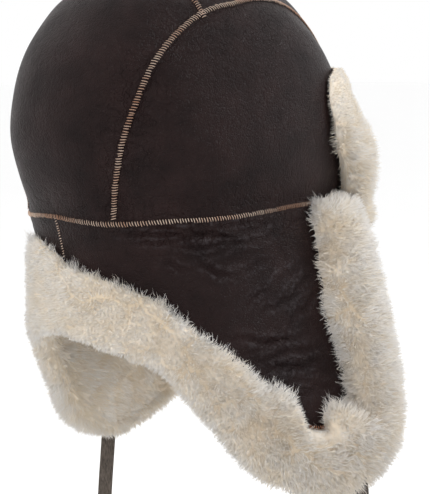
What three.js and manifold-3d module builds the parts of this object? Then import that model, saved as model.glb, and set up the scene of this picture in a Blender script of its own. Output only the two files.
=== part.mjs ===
// Leather flying helmet of shearling hide: a domed crown of four leather panels, two ear panels
// that meet in a seam at the nape, a turned-up front flap, wool on the inner side, a deep fur
// trim round the lower edge and a flat leather tie under each ear flap.
// Millimetres, +Z up, the face looks along -Y and the wearer's right is -X.
// The origin is the top of the hollow, where the crown sits on a head.

import * as THREE from "three";
import { mergeVertices } from "three/addons/utils/BufferGeometryUtils.js";
import Module from "manifold-3d";

const wasm = await Module();
wasm.setup();

// Driving sizes
const CROWN_HALF_WIDTH = 91;
const CROWN_BACK_LENGTH = 106;
const CROWN_FRONT_LENGTH = 106;
const CROWN_HEIGHT = 146; // from the band seam to the top of the leather
const CROWN_SQUARENESS = 2.2; // 2 is an ellipse in plan
const HIDE_THICKNESS = 1.8;
const CROWN_PILE = 8; // clipped wool inside the crown
const FLAP_PILE = 11; // clipped wool inside the ear panels
const PIECE_GAP = 0.3;
const BAND_RISE = 5.2; // how far the band seam climbs towards the temples
const BAND_RISE_SPAN = { start: 58, full: 112 }; // degrees from the back over which it climbs
const BAND_SAG = 2.2; // how far it sags where the side seams meet it
const BAND_SAG_AT = { angle: 27, halfSpan: 18 };
const BAND_WAVE_REACH = 100; // the wave of the band seam dies out this far above and below it
const SEAM_PINCH = 2.6; // how far a sewn seam pulls the hide in
const SEAM_PINCH_REACH = 11;
const SEAM_BLEND = 4; // the cross seam's pull fades over this width at the side seams
const CROSS_SEAM_BACK = 33; // the cross seam lies this far behind the middle of the crown
const FLAP_DROP = 167; // from the band seam to the lowest fur of an ear flap
const FLAP_FLARE = 43; // how far an ear flap stands out at its foot
const FLARE_SPAN = { start: 50, full: 130 }; // degrees from the back over which the flare grows
const NAPE_LEAN = 8; // how far the nape leans in under the band seam
const NAPE_REACH = 90;
const NAPE_SPAN = { full: 30, end: 75 }; // degrees from the back over which the lean fades
const TRIM_THICKNESS = 13.5; // body of the fur trim, under the locks
const TRIM_WRAP = 9; // how far the trim turns in below the leather edge
const LEATHER_SHARE = 0.78; // the leather ends at this share of the trim's width
const LOCK_LENGTH = 6;
const LOCK_VARIETY = 0.35; // share by which a lock may be longer or shorter
const VISOR_HEIGHT = 88;
const VISOR_STAND_OFF = 9; // leather of the front flap stands this far off the crown
const VISOR_FUR = 9.5; // body of its fur, under the locks
const VISOR_FUR_SEAT = 0.4; // the fur's own clearance over the gap to the leather
const VISOR_FUR_TAPER = 0.45; // how much thinner the fur is at the two side edges
const VISOR_HALF_ANGLE = 30;
const TIE_WIDTH = 10;
const TIE_THICKNESS = 2.2;

// Shares of the crown's half width and half lengths, from the band seam up to the top
const CROWN_SECTIONS = [
  { height: 0.0, side: 0.91, back: 0.865, front: 1.085 },
  { height: 0.16, side: 0.965, back: 0.94, front: 1.07 },
  { height: 0.33, side: 1.0, back: 0.985, front: 1.035 },
  { height: 0.51, side: 0.98, back: 0.95, front: 0.99 },
  { height: 0.65, side: 0.925, back: 0.885, front: 0.915 },
  { height: 0.767, side: 0.84, back: 0.785, front: 0.815 },
  { height: 0.863, side: 0.735, back: 0.675, front: 0.69 },
  { height: 0.93, side: 0.59, back: 0.54, front: 0.55 },
  { height: 0.976, side: 0.405, back: 0.37, front: 0.385 },
  { height: 0.995, side: 0.2, back: 0.19, front: 0.2 },
  { height: 1.0, side: 0.0, back: 0.0, front: 0.0 },
];

// Half width of the middle strip of the crown, seen from the front, as shares of the crown
const STRIP_OUTLINE = [
  { height: -0.2, half: 0.45 },
  { height: 0.0, half: 0.485 },
  { height: 0.315, half: 0.63 },
  { height: 0.55, half: 0.7 },
  { height: 0.82, half: 0.73 },
  { height: 1.2, half: 0.73 },
];
const STRIP_TAPER_FROM = 10; // the strip narrows to the front from this far behind the middle
const STRIP_TAPER = 0.0027; // share of its width that it loses on each millimetre

// Round the lower edge from the nape to the temple: where each rib of the ear panel starts on
// the band seam, where the trim's inner border lies, where its fur ends and how deep it is.
// Angles are degrees from the back of the head, drops are shares of FLAP_DROP.
const EDGE_STATIONS = [
  { top: 0, innerAngle: 0, innerDrop: 0.15, outerAngle: 0, outerDrop: 0.42, fullness: 0.62 },
  { top: 18, innerAngle: 20, innerDrop: 0.18, outerAngle: 24, outerDrop: 0.455, fullness: 0.62 },
  { top: 36, innerAngle: 42, innerDrop: 0.25, outerAngle: 45, outerDrop: 0.52, fullness: 0.66 },
  { top: 50, innerAngle: 55, innerDrop: 0.34, outerAngle: 56, outerDrop: 0.63, fullness: 0.75 },
  { top: 64, innerAngle: 69, innerDrop: 0.43, outerAngle: 68, outerDrop: 0.76, fullness: 0.85 },
  { top: 78, innerAngle: 83, innerDrop: 0.55, outerAngle: 80, outerDrop: 0.89, fullness: 0.95 },
  { top: 92, innerAngle: 94, innerDrop: 0.68, outerAngle: 94, outerDrop: 0.97, fullness: 1.05 },
  { top: 104, innerAngle: 103, innerDrop: 0.725, outerAngle: 107, outerDrop: 1.0, fullness: 1.1 },
  { top: 114, innerAngle: 112, innerDrop: 0.72, outerAngle: 121, outerDrop: 0.93, fullness: 1.35 },
  { top: 121, innerAngle: 116, innerDrop: 0.66, outerAngle: 131, outerDrop: 0.8, fullness: 1.55 },
  { top: 127, innerAngle: 118, innerDrop: 0.55, outerAngle: 137, outerDrop: 0.62, fullness: 1.65 },
  { top: 132, innerAngle: 119, innerDrop: 0.38, outerAngle: 141, outerDrop: 0.43, fullness: 1.65 },
  { top: 136, innerAngle: 121, innerDrop: 0.19, outerAngle: 144, outerDrop: 0.23, fullness: 1.5 },
  { top: 139, innerAngle: 121, innerDrop: 0.03, outerAngle: 145, outerDrop: 0.04, fullness: 1.2 },
];
const TRIM_TOP = {
  innerAngle: 122,
  innerDrop: -0.01,
  outerAngle: 143,
  outerDrop: -0.025,
  fullness: 0.7,
};

// Section of the trim, out over its fur and back along its seat: share of its width from the
// inner border, share of its thickness outside the leather, share of the wrap inside it, and
// how long the locks are and how far across they lean, as shares of a lock
const TRIM_SECTION = [
  { across: 0.0, rise: 0.3, wrap: 0, lock: 0, lean: 0 },
  { across: 0.07, rise: 0.66, wrap: 0, lock: 0.6, lean: -0.6 },
  { across: 0.2, rise: 0.9, wrap: 0, lock: 0.85, lean: -0.3 },
  { across: 0.36, rise: 1.0, wrap: 0, lock: 1.0, lean: -0.1 },
  { across: 0.52, rise: 1.0, wrap: 0, lock: 1.0, lean: 0.1 },
  { across: 0.68, rise: 0.92, wrap: 0, lock: 1.0, lean: 0.25 },
  { across: 0.84, rise: 0.72, wrap: 0, lock: 0.9, lean: 0.45 },
  { across: 0.97, rise: 0.35, wrap: 0, lock: 0.8, lean: 0.8 },
  { across: 0.95, rise: 0, wrap: 1, lock: 0, lean: 0 },
];
// The seat runs inside the hide, whose own room is then cut out of it
const TRIM_SEAT = [
  { edge: 1.0, wrap: 1, sunk: 0 },
  { edge: 1.0, wrap: 0.7, sunk: 0 },
  { edge: 1.0, wrap: 0.4, sunk: 0 },
  { edge: 1.0, wrap: 0, sunk: 0 },
  { edge: 0.9, wrap: 0, sunk: 0.5 },
  { edge: 0.7, wrap: 0, sunk: 0.5 },
  { edge: 0.5, wrap: 0, sunk: 0.5 },
  { edge: 0.3, wrap: 0, sunk: 0.5 },
  { edge: 0.0, wrap: 0, sunk: 0.5 },
];

// Folds of the hide below the band seam and across the flap, as shares of FLAP_DROP
const HIDE_FOLDS = [
  { angle: 62, drop: 0.09, halfSpan: 26, reach: 0.03, rise: 1.1 },
  { angle: 80, drop: 0.17, halfSpan: 24, reach: 0.035, rise: -1.3 },
  { angle: 100, drop: 0.27, halfSpan: 14, reach: 0.05, rise: 1.6 },
  { angle: 96, drop: 0.52, halfSpan: 20, reach: 0.035, rise: -1.5 },
  { angle: 98, drop: 0.58, halfSpan: 18, reach: 0.03, rise: 1.2 },
];

// The front flap turns under the crown edge and stands up in front of it: shares of
// VISOR_STAND_OFF and VISOR_HEIGHT, and the share of the half angle that it spans there
const VISOR_PROFILE = [
  { off: -0.1, height: 0, span: 1.0 },
  { off: -0.02, height: -0.035, span: 1.0 },
  { off: 0.25, height: -0.08, span: 1.0 },
  { off: 0.75, height: -0.085, span: 1.0 },
  { off: 1.15, height: -0.035, span: 1.0 },
  { off: 1.25, height: 0.08, span: 1.0 },
  { off: 1.1, height: 0.3, span: 0.99 },
  { off: 0.85, height: 0.55, span: 0.95 },
  { off: 0.62, height: 0.8, span: 0.86 },
  { off: 0.5, height: 0.95, span: 0.72 },
];
// Its fur from the lower edge to the upper: how thick it is and how its locks lean up
const VISOR_FUR_SECTION = [
  { height: -0.17, rise: 0.3, span: 0.97, lock: 0.5, lean: -0.6 },
  { height: -0.13, rise: 0.85, span: 1.02, lock: 0.8, lean: -0.4 },
  { height: 0.0, rise: 1.0, span: 1.03, lock: 1.0, lean: -0.2 },
  { height: 0.16, rise: 1.0, span: 1.03, lock: 1.0, lean: 0 },
  { height: 0.32, rise: 0.95, span: 1.03, lock: 1.0, lean: 0.1 },
  { height: 0.48, rise: 0.85, span: 1.01, lock: 1.0, lean: 0.2 },
  { height: 0.64, rise: 0.72, span: 0.97, lock: 0.9, lean: 0.3 },
  { height: 0.8, rise: 0.58, span: 0.9, lock: 0.85, lean: 0.45 },
  { height: 0.92, rise: 0.45, span: 0.82, lock: 0.7, lean: 0.6 },
  { height: 0.98, rise: 0.2, span: 0.76, lock: 0.5, lean: 0.8 },
];

// Routes of the two ties, from under the flap down to their cut ends
const TIE_ROUTE_RIGHT = [
  [-118.6, -43, -289], [-120, -43.4, -294], [-121.2, -43.8, -301], [-122.0, -44.0, -312],
  [-122.5, -44.2, -326], [-122.8, -44.6, -340], [-122.9, -45.2, -354], [-123.0, -46.0, -368],
  [-123.2, -47.0, -382], [-123.5, -48.0, -396], [-123.9, -48.9, -410], [-124.2, -49.5, -424],
  [-124.4, -49.8, -438], [-124.4, -49.8, -452], [-124.3, -49.4, -466], [-124.0, -48.8, -480],
  [-123.7, -48.2, -494],
];
const TIE_ROUTE_LEFT = [
  [119.6, -37, -289], [121, -36.6, -294], [122.2, -36.2, -301], [123.0, -35.8, -312],
  [123.8, -35.2, -326], [124.6, -34.5, -340], [125.2, -33.9, -354], [125.8, -33.4, -368],
  [126.2, -33.0, -382], [126.4, -32.8, -396], [126.4, -32.8, -410], [126.2, -33.0, -424],
  [125.8, -33.3, -438], [125.3, -33.6, -452], [124.8, -33.8, -466], [124.4, -33.9, -480],
  [124.0, -34.0, -494],
];
const TIE_STEPS = 12;
const TIE_FACING = new THREE.Vector3(-0.64, -0.77, 0); // the ties lie flat along this direction

const BAND_HEIGHT = -(CROWN_HEIGHT - HIDE_THICKNESS - PIECE_GAP - CROWN_PILE);
const WOOL_OUTSIDE = HIDE_THICKNESS + PIECE_GAP;

// Small maths

const smoothstep = (low, high, value) => THREE.MathUtils.smoothstep(value, low, high);

// A value of every column of a table at place 0 to 1 along its rows, on a smooth curve
function sampleTable(rows, place) {
  const span = THREE.MathUtils.clamp(place, 0, 1) * (rows.length - 1);
  const index = Math.min(Math.floor(span), rows.length - 2);
  const share = span - index;
  const row = (offset) => rows[THREE.MathUtils.clamp(index + offset, 0, rows.length - 1)];
  const sample = {};
  for (const column of Object.keys(rows[0])) {
    const [a, b, c, d] = [row(-1), row(0), row(1), row(2)].map((entry) => entry[column]);
    const slopeIn = (c - a) / 2;
    const slopeOut = (d - b) / 2;
    sample[column] =
      b +
      share * slopeIn +
      share * share * (3 * (c - b) - 2 * slopeIn - slopeOut) +
      share ** 3 * (2 * (b - c) + slopeIn + slopeOut);
  }
  return sample;
}

// The place along a table at which one of its columns, which only grows, has a value
function placeOf(rows, column, value) {
  let low = 0;
  let high = 1;
  for (let step = 0; step < 30; step += 1) {
    const middle = (low + high) / 2;
    if (sampleTable(rows, middle)[column] < value) low = middle;
    else high = middle;
  }
  return (low + high) / 2;
}

// An even spread of chance, the same on every run
function scatter(seed) {
  const value = Math.sin(seed * 127.1 + 11.7) * 43758.5453;
  return value - Math.floor(value);
}

// The outer surface of the hide

// A point of the plan outline, at an angle in degrees from the back towards the wearer's right
function planPoint(angle, side, back, front, extra = 0) {
  const radians = THREE.MathUtils.degToRad(angle);
  const across = Math.abs(Math.sin(radians)) / (side * CROWN_HALF_WIDTH);
  const backward = Math.cos(radians) > 0;
  const length = backward ? back * CROWN_BACK_LENGTH : front * CROWN_FRONT_LENGTH;
  const along = Math.abs(Math.cos(radians)) / length;
  const radius = (across ** CROWN_SQUARENESS + along ** CROWN_SQUARENESS) ** (-1 / CROWN_SQUARENESS);
  const reach = radius + extra;
  return new THREE.Vector3(-Math.sin(radians) * reach, Math.cos(radians) * reach, 0);
}

const stripTaper = (y) => 1 - STRIP_TAPER * Math.max(0, STRIP_TAPER_FROM - y);

const stripHalfWidth = (height, y) =>
  sampleTable(STRIP_OUTLINE, placeOf(STRIP_OUTLINE, "height", height / CROWN_HEIGHT)).half *
  CROWN_HALF_WIDTH * stripTaper(y);

// How far the sewn seams pull the crown in at a point
function seamPinch(point, height) {
  const insideSeam = stripHalfWidth(height, point.y) - Math.abs(point.x);
  const fromSideSeam = Math.abs(insideSeam);
  const inStrip = smoothstep(-SEAM_BLEND, SEAM_BLEND, insideSeam);
  const fromCrossSeam = Math.abs(point.y - CROSS_SEAM_BACK);
  const side = Math.exp(-((fromSideSeam / SEAM_PINCH_REACH) ** 2));
  const cross = inStrip * Math.exp(-((fromCrossSeam / SEAM_PINCH_REACH) ** 2));
  return SEAM_PINCH * Math.max(side, cross);
}

// How far the band seam's wave lifts a point at an angle from the back
function bandWave(angle, z) {
  const turn = Math.abs(THREE.MathUtils.euclideanModulo(angle + 180, 360) - 180);
  const rise = BAND_RISE * smoothstep(BAND_RISE_SPAN.start, BAND_RISE_SPAN.full, turn);
  const sag = BAND_SAG * Math.exp(-(((turn - BAND_SAG_AT.angle) / BAND_SAG_AT.halfSpan) ** 2));
  return (rise - sag) * (1 - smoothstep(0, BAND_WAVE_REACH, Math.abs(z - BAND_HEIGHT)));
}

function bareCrownPoint(angle, place) {
  const section = sampleTable(CROWN_SECTIONS, place);
  const point = section.side <= 1e-6
    ? new THREE.Vector3()
    : planPoint(angle, section.side, section.back, section.front);
  point.z = BAND_HEIGHT + section.height * CROWN_HEIGHT;
  point.z += bandWave(angle, point.z);
  return point;
}

// The outward direction of the crown, level at the band seam and upright at the top
function crownNormal(angle, place) {
  if (place >= 0.999) return new THREE.Vector3(0, 0, 1);
  const here = bareCrownPoint(angle, place);
  const aside = bareCrownPoint(angle + 1, place).sub(here);
  const above = bareCrownPoint(angle, place + 0.01).sub(here);
  const normal = aside.cross(above).normalize();
  normal.z *= smoothstep(0, 0.08, place);
  return normal.normalize();
}

// A point of the crown: place runs from 0 at the band seam to 1 at the top
function crownPoint(angle, place, out = 0) {
  const point = bareCrownPoint(angle, place);
  const pinch = seamPinch(point, point.z - BAND_HEIGHT) * smoothstep(0, 0.05, place);
  return point.addScaledVector(crownNormal(angle, place), out - pinch);
}

function foldRise(angle, drop) {
  return HIDE_FOLDS.reduce((sum, fold) => {
    const along = (Math.abs(angle) - fold.angle) / fold.halfSpan;
    const across = (drop / FLAP_DROP - fold.drop) / fold.reach;
    return sum + fold.rise * Math.exp(-along * along - across * across);
  }, 0);
}

// How far the wall below the band seam stands outside the seam's own outline
function wallFlare(angle, drop) {
  if (drop <= 0) return 0;
  const beside = smoothstep(FLARE_SPAN.start, FLARE_SPAN.full, Math.abs(angle));
  const nape = 1 - smoothstep(NAPE_SPAN.full, NAPE_SPAN.end, Math.abs(angle));
  const lean = NAPE_LEAN * nape * Math.sin(Math.PI * Math.min(1, drop / NAPE_REACH));
  return FLAP_FLARE * beside * (drop / FLAP_DROP) - lean + foldRise(angle, drop);
}

// A point of the wall: drop is measured down from the band seam, out is level and outward
function wallPoint(angle, drop, out = 0) {
  const rise = Math.max(0, -drop) / CROWN_HEIGHT;
  const section = sampleTable(CROWN_SECTIONS, rise > 0 ? placeOf(CROWN_SECTIONS, "height", rise) : 0);
  const at = (turn) =>
    planPoint(angle + turn, section.side, section.back, section.front, wallFlare(angle + turn, drop));
  const point = at(0);
  const along = at(1).sub(at(-1));
  point.addScaledVector(new THREE.Vector3(along.y, -along.x, 0).normalize(), out);
  point.z = BAND_HEIGHT - drop;
  point.z += bandWave(angle, point.z);
  return point;
}

// Solids

// Triangles of a closed body, gathered from strips and fans
class BodyBuilder {
  constructor() {
    this.corners = [];
  }

  triangle(a, b, c) {
    this.corners.push(a, b, c);
  }

  // Quads between two rows of points, closed into a ring if asked. Those that turned names are
  // split along the other diagonal, as the second face of a wall is, and the sides of a lock.
  strip(lower, upper, closed, turned = () => false) {
    const count = closed ? lower.length : lower.length - 1;
    for (let j = 0; j < count; j += 1) {
      const k = (j + 1) % lower.length;
      if (turned(j)) {
        this.triangle(lower[j], lower[k], upper[j]);
        this.triangle(lower[k], upper[k], upper[j]);
      } else {
        this.triangle(lower[j], lower[k], upper[k]);
        this.triangle(lower[j], upper[k], upper[j]);
      }
    }
  }

  // The flat end of a body whose ring runs out along one line and back along its partner
  cap(ring, flip) {
    const half = ring.length / 2;
    const outer = ring.slice(0, half);
    const inner = ring.slice(half).reverse();
    if (flip) this.strip(inner, outer, false);
    else this.strip(outer, inner, false);
  }

  // The closed body as a geometry, with welded corners, no collapsed faces and faces out
  geometry() {
    const index = new Map();
    const points = [];
    const place = (point) => {
      const key = point.toArray().map((value) => Math.round(value * 1e4)).join();
      if (!index.has(key)) {
        index.set(key, points.length);
        points.push(point);
      }
      return index.get(key);
    };
    const faces = [];
    let volume = 0;
    for (let i = 0; i < this.corners.length; i += 3) {
      const face = this.corners.slice(i, i + 3);
      const ids = face.map(place);
      if (new Set(ids).size < 3) continue;
      faces.push(ids);
      volume += face[0].dot(face[1].clone().cross(face[2]));
    }
    const turned = volume < 0 ? faces.map(([a, b, c]) => [a, c, b]) : faces;
    const geometry = new THREE.BufferGeometry();
    geometry.setAttribute(
      "position",
      new THREE.Float32BufferAttribute(points.flatMap((point) => point.toArray()), 3),
    );
    geometry.setIndex(turned.flat());
    return geometry;
  }
}

// A body lofted through closed section rings, with flat ends
function loft(rings, turned = (i, j) => j >= rings[i].length / 2) {
  const body = new BodyBuilder();
  for (let i = 1; i < rings.length; i += 1) {
    body.strip(rings[i - 1], rings[i], true, (j) => turned(i, j));
  }
  body.cap(rings[0], true);
  body.cap(rings.at(-1), false);
  return body.geometry();
}

// A domed wall between two offsets from the leather's outer surface
function domeWall(outer, inner, columns, rows) {
  const body = new BodyBuilder();
  const ring = (place, out) =>
    Array.from({ length: columns }, (_, j) => crownPoint((360 * j) / columns, place, out));
  const places = Array.from({ length: rows + 1 }, (_, i) => i / rows);
  const outside = places.map((place) => ring(place, outer));
  const inside = places.map((place) => ring(place, inner));
  for (let i = 1; i <= rows; i += 1) {
    body.strip(outside[i - 1], outside[i], true);
    body.strip(inside[i], inside[i - 1], true, () => true);
  }
  body.strip(inside[0], outside[0], true);
  return body.geometry();
}

// A closed geometry as a manifold solid, and back
function solidOf(geometry) {
  const bare = geometry.clone();
  bare.deleteAttribute("normal");
  bare.deleteAttribute("uv");
  const welded = mergeVertices(bare, 1e-4);
  const triVerts = new Uint32Array(welded.index.array);
  const vertProperties = new Float32Array(welded.attributes.position.array);
  return new wasm.Manifold(new wasm.Mesh({ numProp: 3, vertProperties, triVerts }));
}

function geometryOf(solid) {
  const mesh = solid.getMesh();
  const geometry = new THREE.BufferGeometry();
  geometry.setAttribute("position", new THREE.Float32BufferAttribute(mesh.vertProperties, 3));
  geometry.setIndex(Array.from(mesh.triVerts));
  const flat = geometry.toNonIndexed();
  flat.computeVertexNormals();
  return flat;
}

// Crown panels

const FAR = 400; // past every side of the part
const STRIP_STEPS = 10;
const STRIP_OVERRUN = 0.15; // the cutter runs this share of the crown past its foot, top and ends
const STRIP_LENGTHS = 6;

// A bar along Y whose outline is the middle strip, made wider or narrower by an amount
function stripCutter(extra) {
  const heights = Array.from({ length: STRIP_STEPS + 1 }, (_, i) =>
    THREE.MathUtils.lerp(-STRIP_OVERRUN, 1 + STRIP_OVERRUN, i / STRIP_STEPS));
  const front = -(1 + STRIP_OVERRUN) * CROWN_FRONT_LENGTH;
  const tapering = Array.from({ length: STRIP_LENGTHS + 1 }, (_, i) =>
    THREE.MathUtils.lerp(STRIP_TAPER_FROM, front, i / STRIP_LENGTHS));
  const sections = [(1 + STRIP_OVERRUN) * CROWN_BACK_LENGTH, ...tapering];
  return solidOf(loft(sections.map((y) => {
    const edge = heights.map((height) => {
      const x = stripHalfWidth(height * CROWN_HEIGHT, y) + extra;
      return new THREE.Vector3(x, y, BAND_HEIGHT + height * CROWN_HEIGHT);
    });
    const partner = edge.map((point) => new THREE.Vector3(-point.x, y, point.z)).reverse();
    return [...edge, ...partner];
  })));
}

// A block that fills everything on one side of a plane across Y or X
function halfSpace(axis, from, sign) {
  const block = new THREE.BoxGeometry(2 * FAR, 2 * FAR, 4 * FAR);
  const shift = from + sign * FAR;
  block.translate(axis === "x" ? shift : 0, axis === "y" ? shift : 0, 0);
  return solidOf(block);
}

const CROWN_COLUMNS = 36;
const CROWN_ROWS = 9;

function crownPanels() {
  const shell = solidOf(domeWall(0, -HIDE_THICKNESS, CROWN_COLUMNS, CROWN_ROWS));
  const sides = shell.subtract(stripCutter(PIECE_GAP / 2));
  const middle = shell.intersect(stripCutter(-PIECE_GAP / 2));
  return {
    crown_back: middle.intersect(halfSpace("y", CROSS_SEAM_BACK + PIECE_GAP / 2, 1)),
    crown_front: middle.intersect(halfSpace("y", CROSS_SEAM_BACK - PIECE_GAP / 2, -1)),
    crown_side_right: sides.intersect(halfSpace("x", 0, -1)),
    crown_side_left: sides.intersect(halfSpace("x", 0, 1)),
  };
}

const crownWool = () =>
  domeWall(-WOOL_OUTSIDE, -WOOL_OUTSIDE - CROWN_PILE, CROWN_COLUMNS, CROWN_ROWS);

// Ear panels, their wool and their trim, one set on each side

const PANEL_RIBS = 20;
const PANEL_ROWS = 5;
const TRIM_STATIONS = 44;
const TRIM_EDGE_ROOM = 0.02; // share of the trim's width kept clear round the leather edge
const CROWN_ROOM = 40; // how deep inside the crown its room is cut out of the trim

// The edge of the leather, in angle and drop, at a place from the nape to the temple
function leatherEdge(place) {
  const row = sampleTable(EDGE_STATIONS, place);
  return {
    top: row.top,
    angle: THREE.MathUtils.lerp(row.innerAngle, row.outerAngle, LEATHER_SHARE),
    drop: FLAP_DROP * THREE.MathUtils.lerp(row.innerDrop, row.outerDrop, LEATHER_SHARE),
  };
}

// A wall of an ear panel between two offsets, side is 1 for the right and -1 for the left
function earWall(side, outer, inner) {
  const rib = (place, out) => {
    const edge = leatherEdge(place);
    return Array.from({ length: PANEL_ROWS + 1 }, (_, i) => {
      const share = i / PANEL_ROWS;
      const angle = THREE.MathUtils.lerp(edge.top, edge.angle, share);
      const drop = THREE.MathUtils.lerp(PIECE_GAP, edge.drop, share);
      return wallPoint(side * (angle + (place === 0 ? PIECE_GAP / 2 : 0)), drop, out);
    });
  };
  const rings = Array.from({ length: PANEL_RIBS + 1 }, (_, i) => {
    const place = i / PANEL_RIBS;
    return [...rib(place, outer), ...rib(place, inner).reverse()];
  });
  return loft(rings);
}

// The trim's borders and depth at a place from the nape to its top end
const trimRow = (place) =>
  sampleTable([...EDGE_STATIONS.map(({ top, ...row }) => row), TRIM_TOP], place);

// A point of the trim: across its width from the inner border and out from the leather
function trimPoint(side, place, across, out) {
  const row = trimRow(place);
  const angle = THREE.MathUtils.lerp(row.innerAngle, row.outerAngle, across);
  const drop = FLAP_DROP * THREE.MathUtils.lerp(row.innerDrop, row.outerDrop, across);
  return wallPoint(side * angle, drop, out);
}

// Every second point of a fur's outer face is drawn out into a lock, as on a chessboard. The
// faces round a lock are split so that each lock is a pyramid of its own.
const isLock = (i, j) => (i + j) % 2 === 1;
const lockFaceTurned = (i, j) => isLock(i - 1, j);
const lockLength = (seed) => LOCK_LENGTH * (1 + LOCK_VARIETY * (2 * scatter(seed) - 1));

// The trim: a padded strip in locks that lies on the leather and turns in under its edge
function trimBody(side) {
  const wrapIn = WOOL_OUTSIDE + TRIM_WRAP;
  const edge = LEATHER_SHARE + TRIM_EDGE_ROOM;
  const rings = Array.from({ length: TRIM_STATIONS + 1 }, (_, i) => {
    const place = i / TRIM_STATIONS;
    const { fullness } = trimRow(place);
    const width = trimPoint(side, place, 0, 0).distanceTo(trimPoint(side, place, 1, 0));
    const within = i > 0 && i < TRIM_STATIONS;
    const furPoint = (row, j) => {
      const seed = i * TRIM_SECTION.length + j;
      const length = within && isLock(i, j) ? row.lock * fullness * lockLength(seed) : 0;
      const out = PIECE_GAP + TRIM_THICKNESS * fullness * row.rise - wrapIn * row.wrap;
      return trimPoint(side, place, row.across + (row.lean * length) / width, out + length);
    };
    const seatPoint = (row) => {
      const out = PIECE_GAP - wrapIn * row.wrap - HIDE_THICKNESS * row.sunk;
      return trimPoint(side, place, row.edge * edge, out);
    };
    return [...TRIM_SECTION.map(furPoint), ...TRIM_SEAT.map(seatPoint)];
  });
  return loft(rings, lockFaceTurned);
}

function tieGeometry(points, extra = 0) {
  const path = new THREE.CatmullRomCurve3(points.map((point) => new THREE.Vector3(...point)));
  const frames = path.computeFrenetFrames(TIE_STEPS, false);
  const facing = Math.atan2(TIE_FACING.dot(frames.binormals[0]), TIE_FACING.dot(frames.normals[0]));
  const halfWidth = TIE_WIDTH / 2 + extra;
  const halfThickness = TIE_THICKNESS / 2 + extra;
  const round = 0.35 * halfThickness;
  const section = [
    [-halfWidth, -halfThickness + round], [-halfWidth + round, -halfThickness],
    [halfWidth - round, -halfThickness], [halfWidth, -halfThickness + round],
    [halfWidth, halfThickness - round], [halfWidth - round, halfThickness],
    [-halfWidth + round, halfThickness], [-halfWidth, halfThickness - round],
  ].map(([x, y]) => new THREE.Vector2(x, y).rotateAround(new THREE.Vector2(), facing));
  return new THREE.ExtrudeGeometry(new THREE.Shape(section), {
    steps: TIE_STEPS,
    extrudePath: path,
    bevelEnabled: false,
  });
}

function trimSolid(side, tieRoute) {
  const hide = solidOf(earWall(side, PIECE_GAP, -WOOL_OUTSIDE - FLAP_PILE - PIECE_GAP));
  const crown = solidOf(
    domeWall(PIECE_GAP, -WOOL_OUTSIDE - CROWN_PILE - CROWN_ROOM, CROWN_COLUMNS, CROWN_ROWS),
  );
  const halfOfHat = halfSpace("x", (-side * PIECE_GAP) / 2, -side);
  const pocket = solidOf(tieGeometry(tieRoute, PIECE_GAP));
  return solidOf(trimBody(side)).intersect(halfOfHat).subtract(hide).subtract(crown).subtract(pocket);
}

// Front flap and its fur

const VISOR_COLUMNS = 11;
const VISOR_FUR_COLUMNS = 17;
const VISOR_UPRIGHT_FROM = 4; // the row of its profile from which the front flap stands up

function visorPoint(across, off, height, span) {
  const angle = 180 + across * span * VISOR_HALF_ANGLE;
  return wallPoint(angle, -height, off);
}

function visorLeather() {
  const half = HIDE_THICKNESS / 2;
  const line = VISOR_PROFILE.map((row) => ({
    off: row.off * VISOR_STAND_OFF,
    height: row.height * VISOR_HEIGHT - PIECE_GAP,
    span: row.span,
  }));
  const sided = (sign) =>
    line.map((row, i) => {
      const before = line[Math.max(0, i - 1)];
      const after = line[Math.min(line.length - 1, i + 1)];
      const run = new THREE.Vector2(after.off - before.off, after.height - before.height).normalize();
      return { ...row, off: row.off + sign * half * run.y, height: row.height - sign * half * run.x };
    });
  const section = [...sided(1), ...sided(-1).reverse()];
  const rings = Array.from({ length: VISOR_COLUMNS + 1 }, (_, j) => {
    const across = -1 + (2 * j) / VISOR_COLUMNS;
    return section.map((row) => visorPoint(across, row.off, row.height, row.span));
  });
  return loft(rings);
}

// How far the leather of the front flap stands off the crown at a share of its height
function visorOff(height) {
  const upright = VISOR_PROFILE.slice(VISOR_UPRIGHT_FROM);
  const place = placeOf(upright, "height", Math.max(height, upright[0].height));
  return sampleTable(upright, place).off * VISOR_STAND_OFF;
}

// A point of the front flap's fur, length is the lock's own or 0, and body is 0 on the seat
function visorFurPoint(across, row, body, length) {
  const seat = visorOff(row.height) + HIDE_THICKNESS / 2 + PIECE_GAP + VISOR_FUR_SEAT;
  const fullness = 1 - VISOR_FUR_TAPER * Math.abs(across) ** 6;
  const off = seat + fullness * (body * VISOR_FUR * row.rise + length);
  return visorPoint(across, off, row.height * VISOR_HEIGHT + row.lean * length, row.span);
}

function visorFur() {
  const rings = Array.from({ length: VISOR_FUR_COLUMNS + 1 }, (_, i) => {
    const across = -1 + (2 * i) / VISOR_FUR_COLUMNS;
    const furPoint = (row, j) => {
      const length = isLock(i, j) ? row.lock * lockLength(i * VISOR_FUR_SECTION.length + j) : 0;
      return visorFurPoint(across, row, 1, length);
    };
    const seatPoint = (row) => visorFurPoint(across, row, 0, 0);
    return [...VISOR_FUR_SECTION.map(furPoint), ...VISOR_FUR_SECTION.map(seatPoint).reverse()];
  });
  return solidOf(loft(rings, lockFaceTurned)).subtract(solidOf(visorLeather()));
}

// The assembly

const LEATHER = { color: 0x34241f, roughness: 0.42, metalness: 0 };
const WOOL = { color: 0xe9ddc6, roughness: 0.95, metalness: 0 };
const TIE = { color: 0x4a433c, roughness: 0.8, metalness: 0 };

const helmet = new THREE.Group();

function addPiece(name, geometry, finish) {
  const piece = new THREE.Mesh(geometry, new THREE.MeshStandardMaterial(finish));
  piece.name = name;
  helmet.add(piece);
}

for (const [name, solid] of Object.entries(crownPanels())) {
  addPiece(name, geometryOf(solid), LEATHER);
}
addPiece("crown_wool", crownWool(), WOOL);

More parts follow.
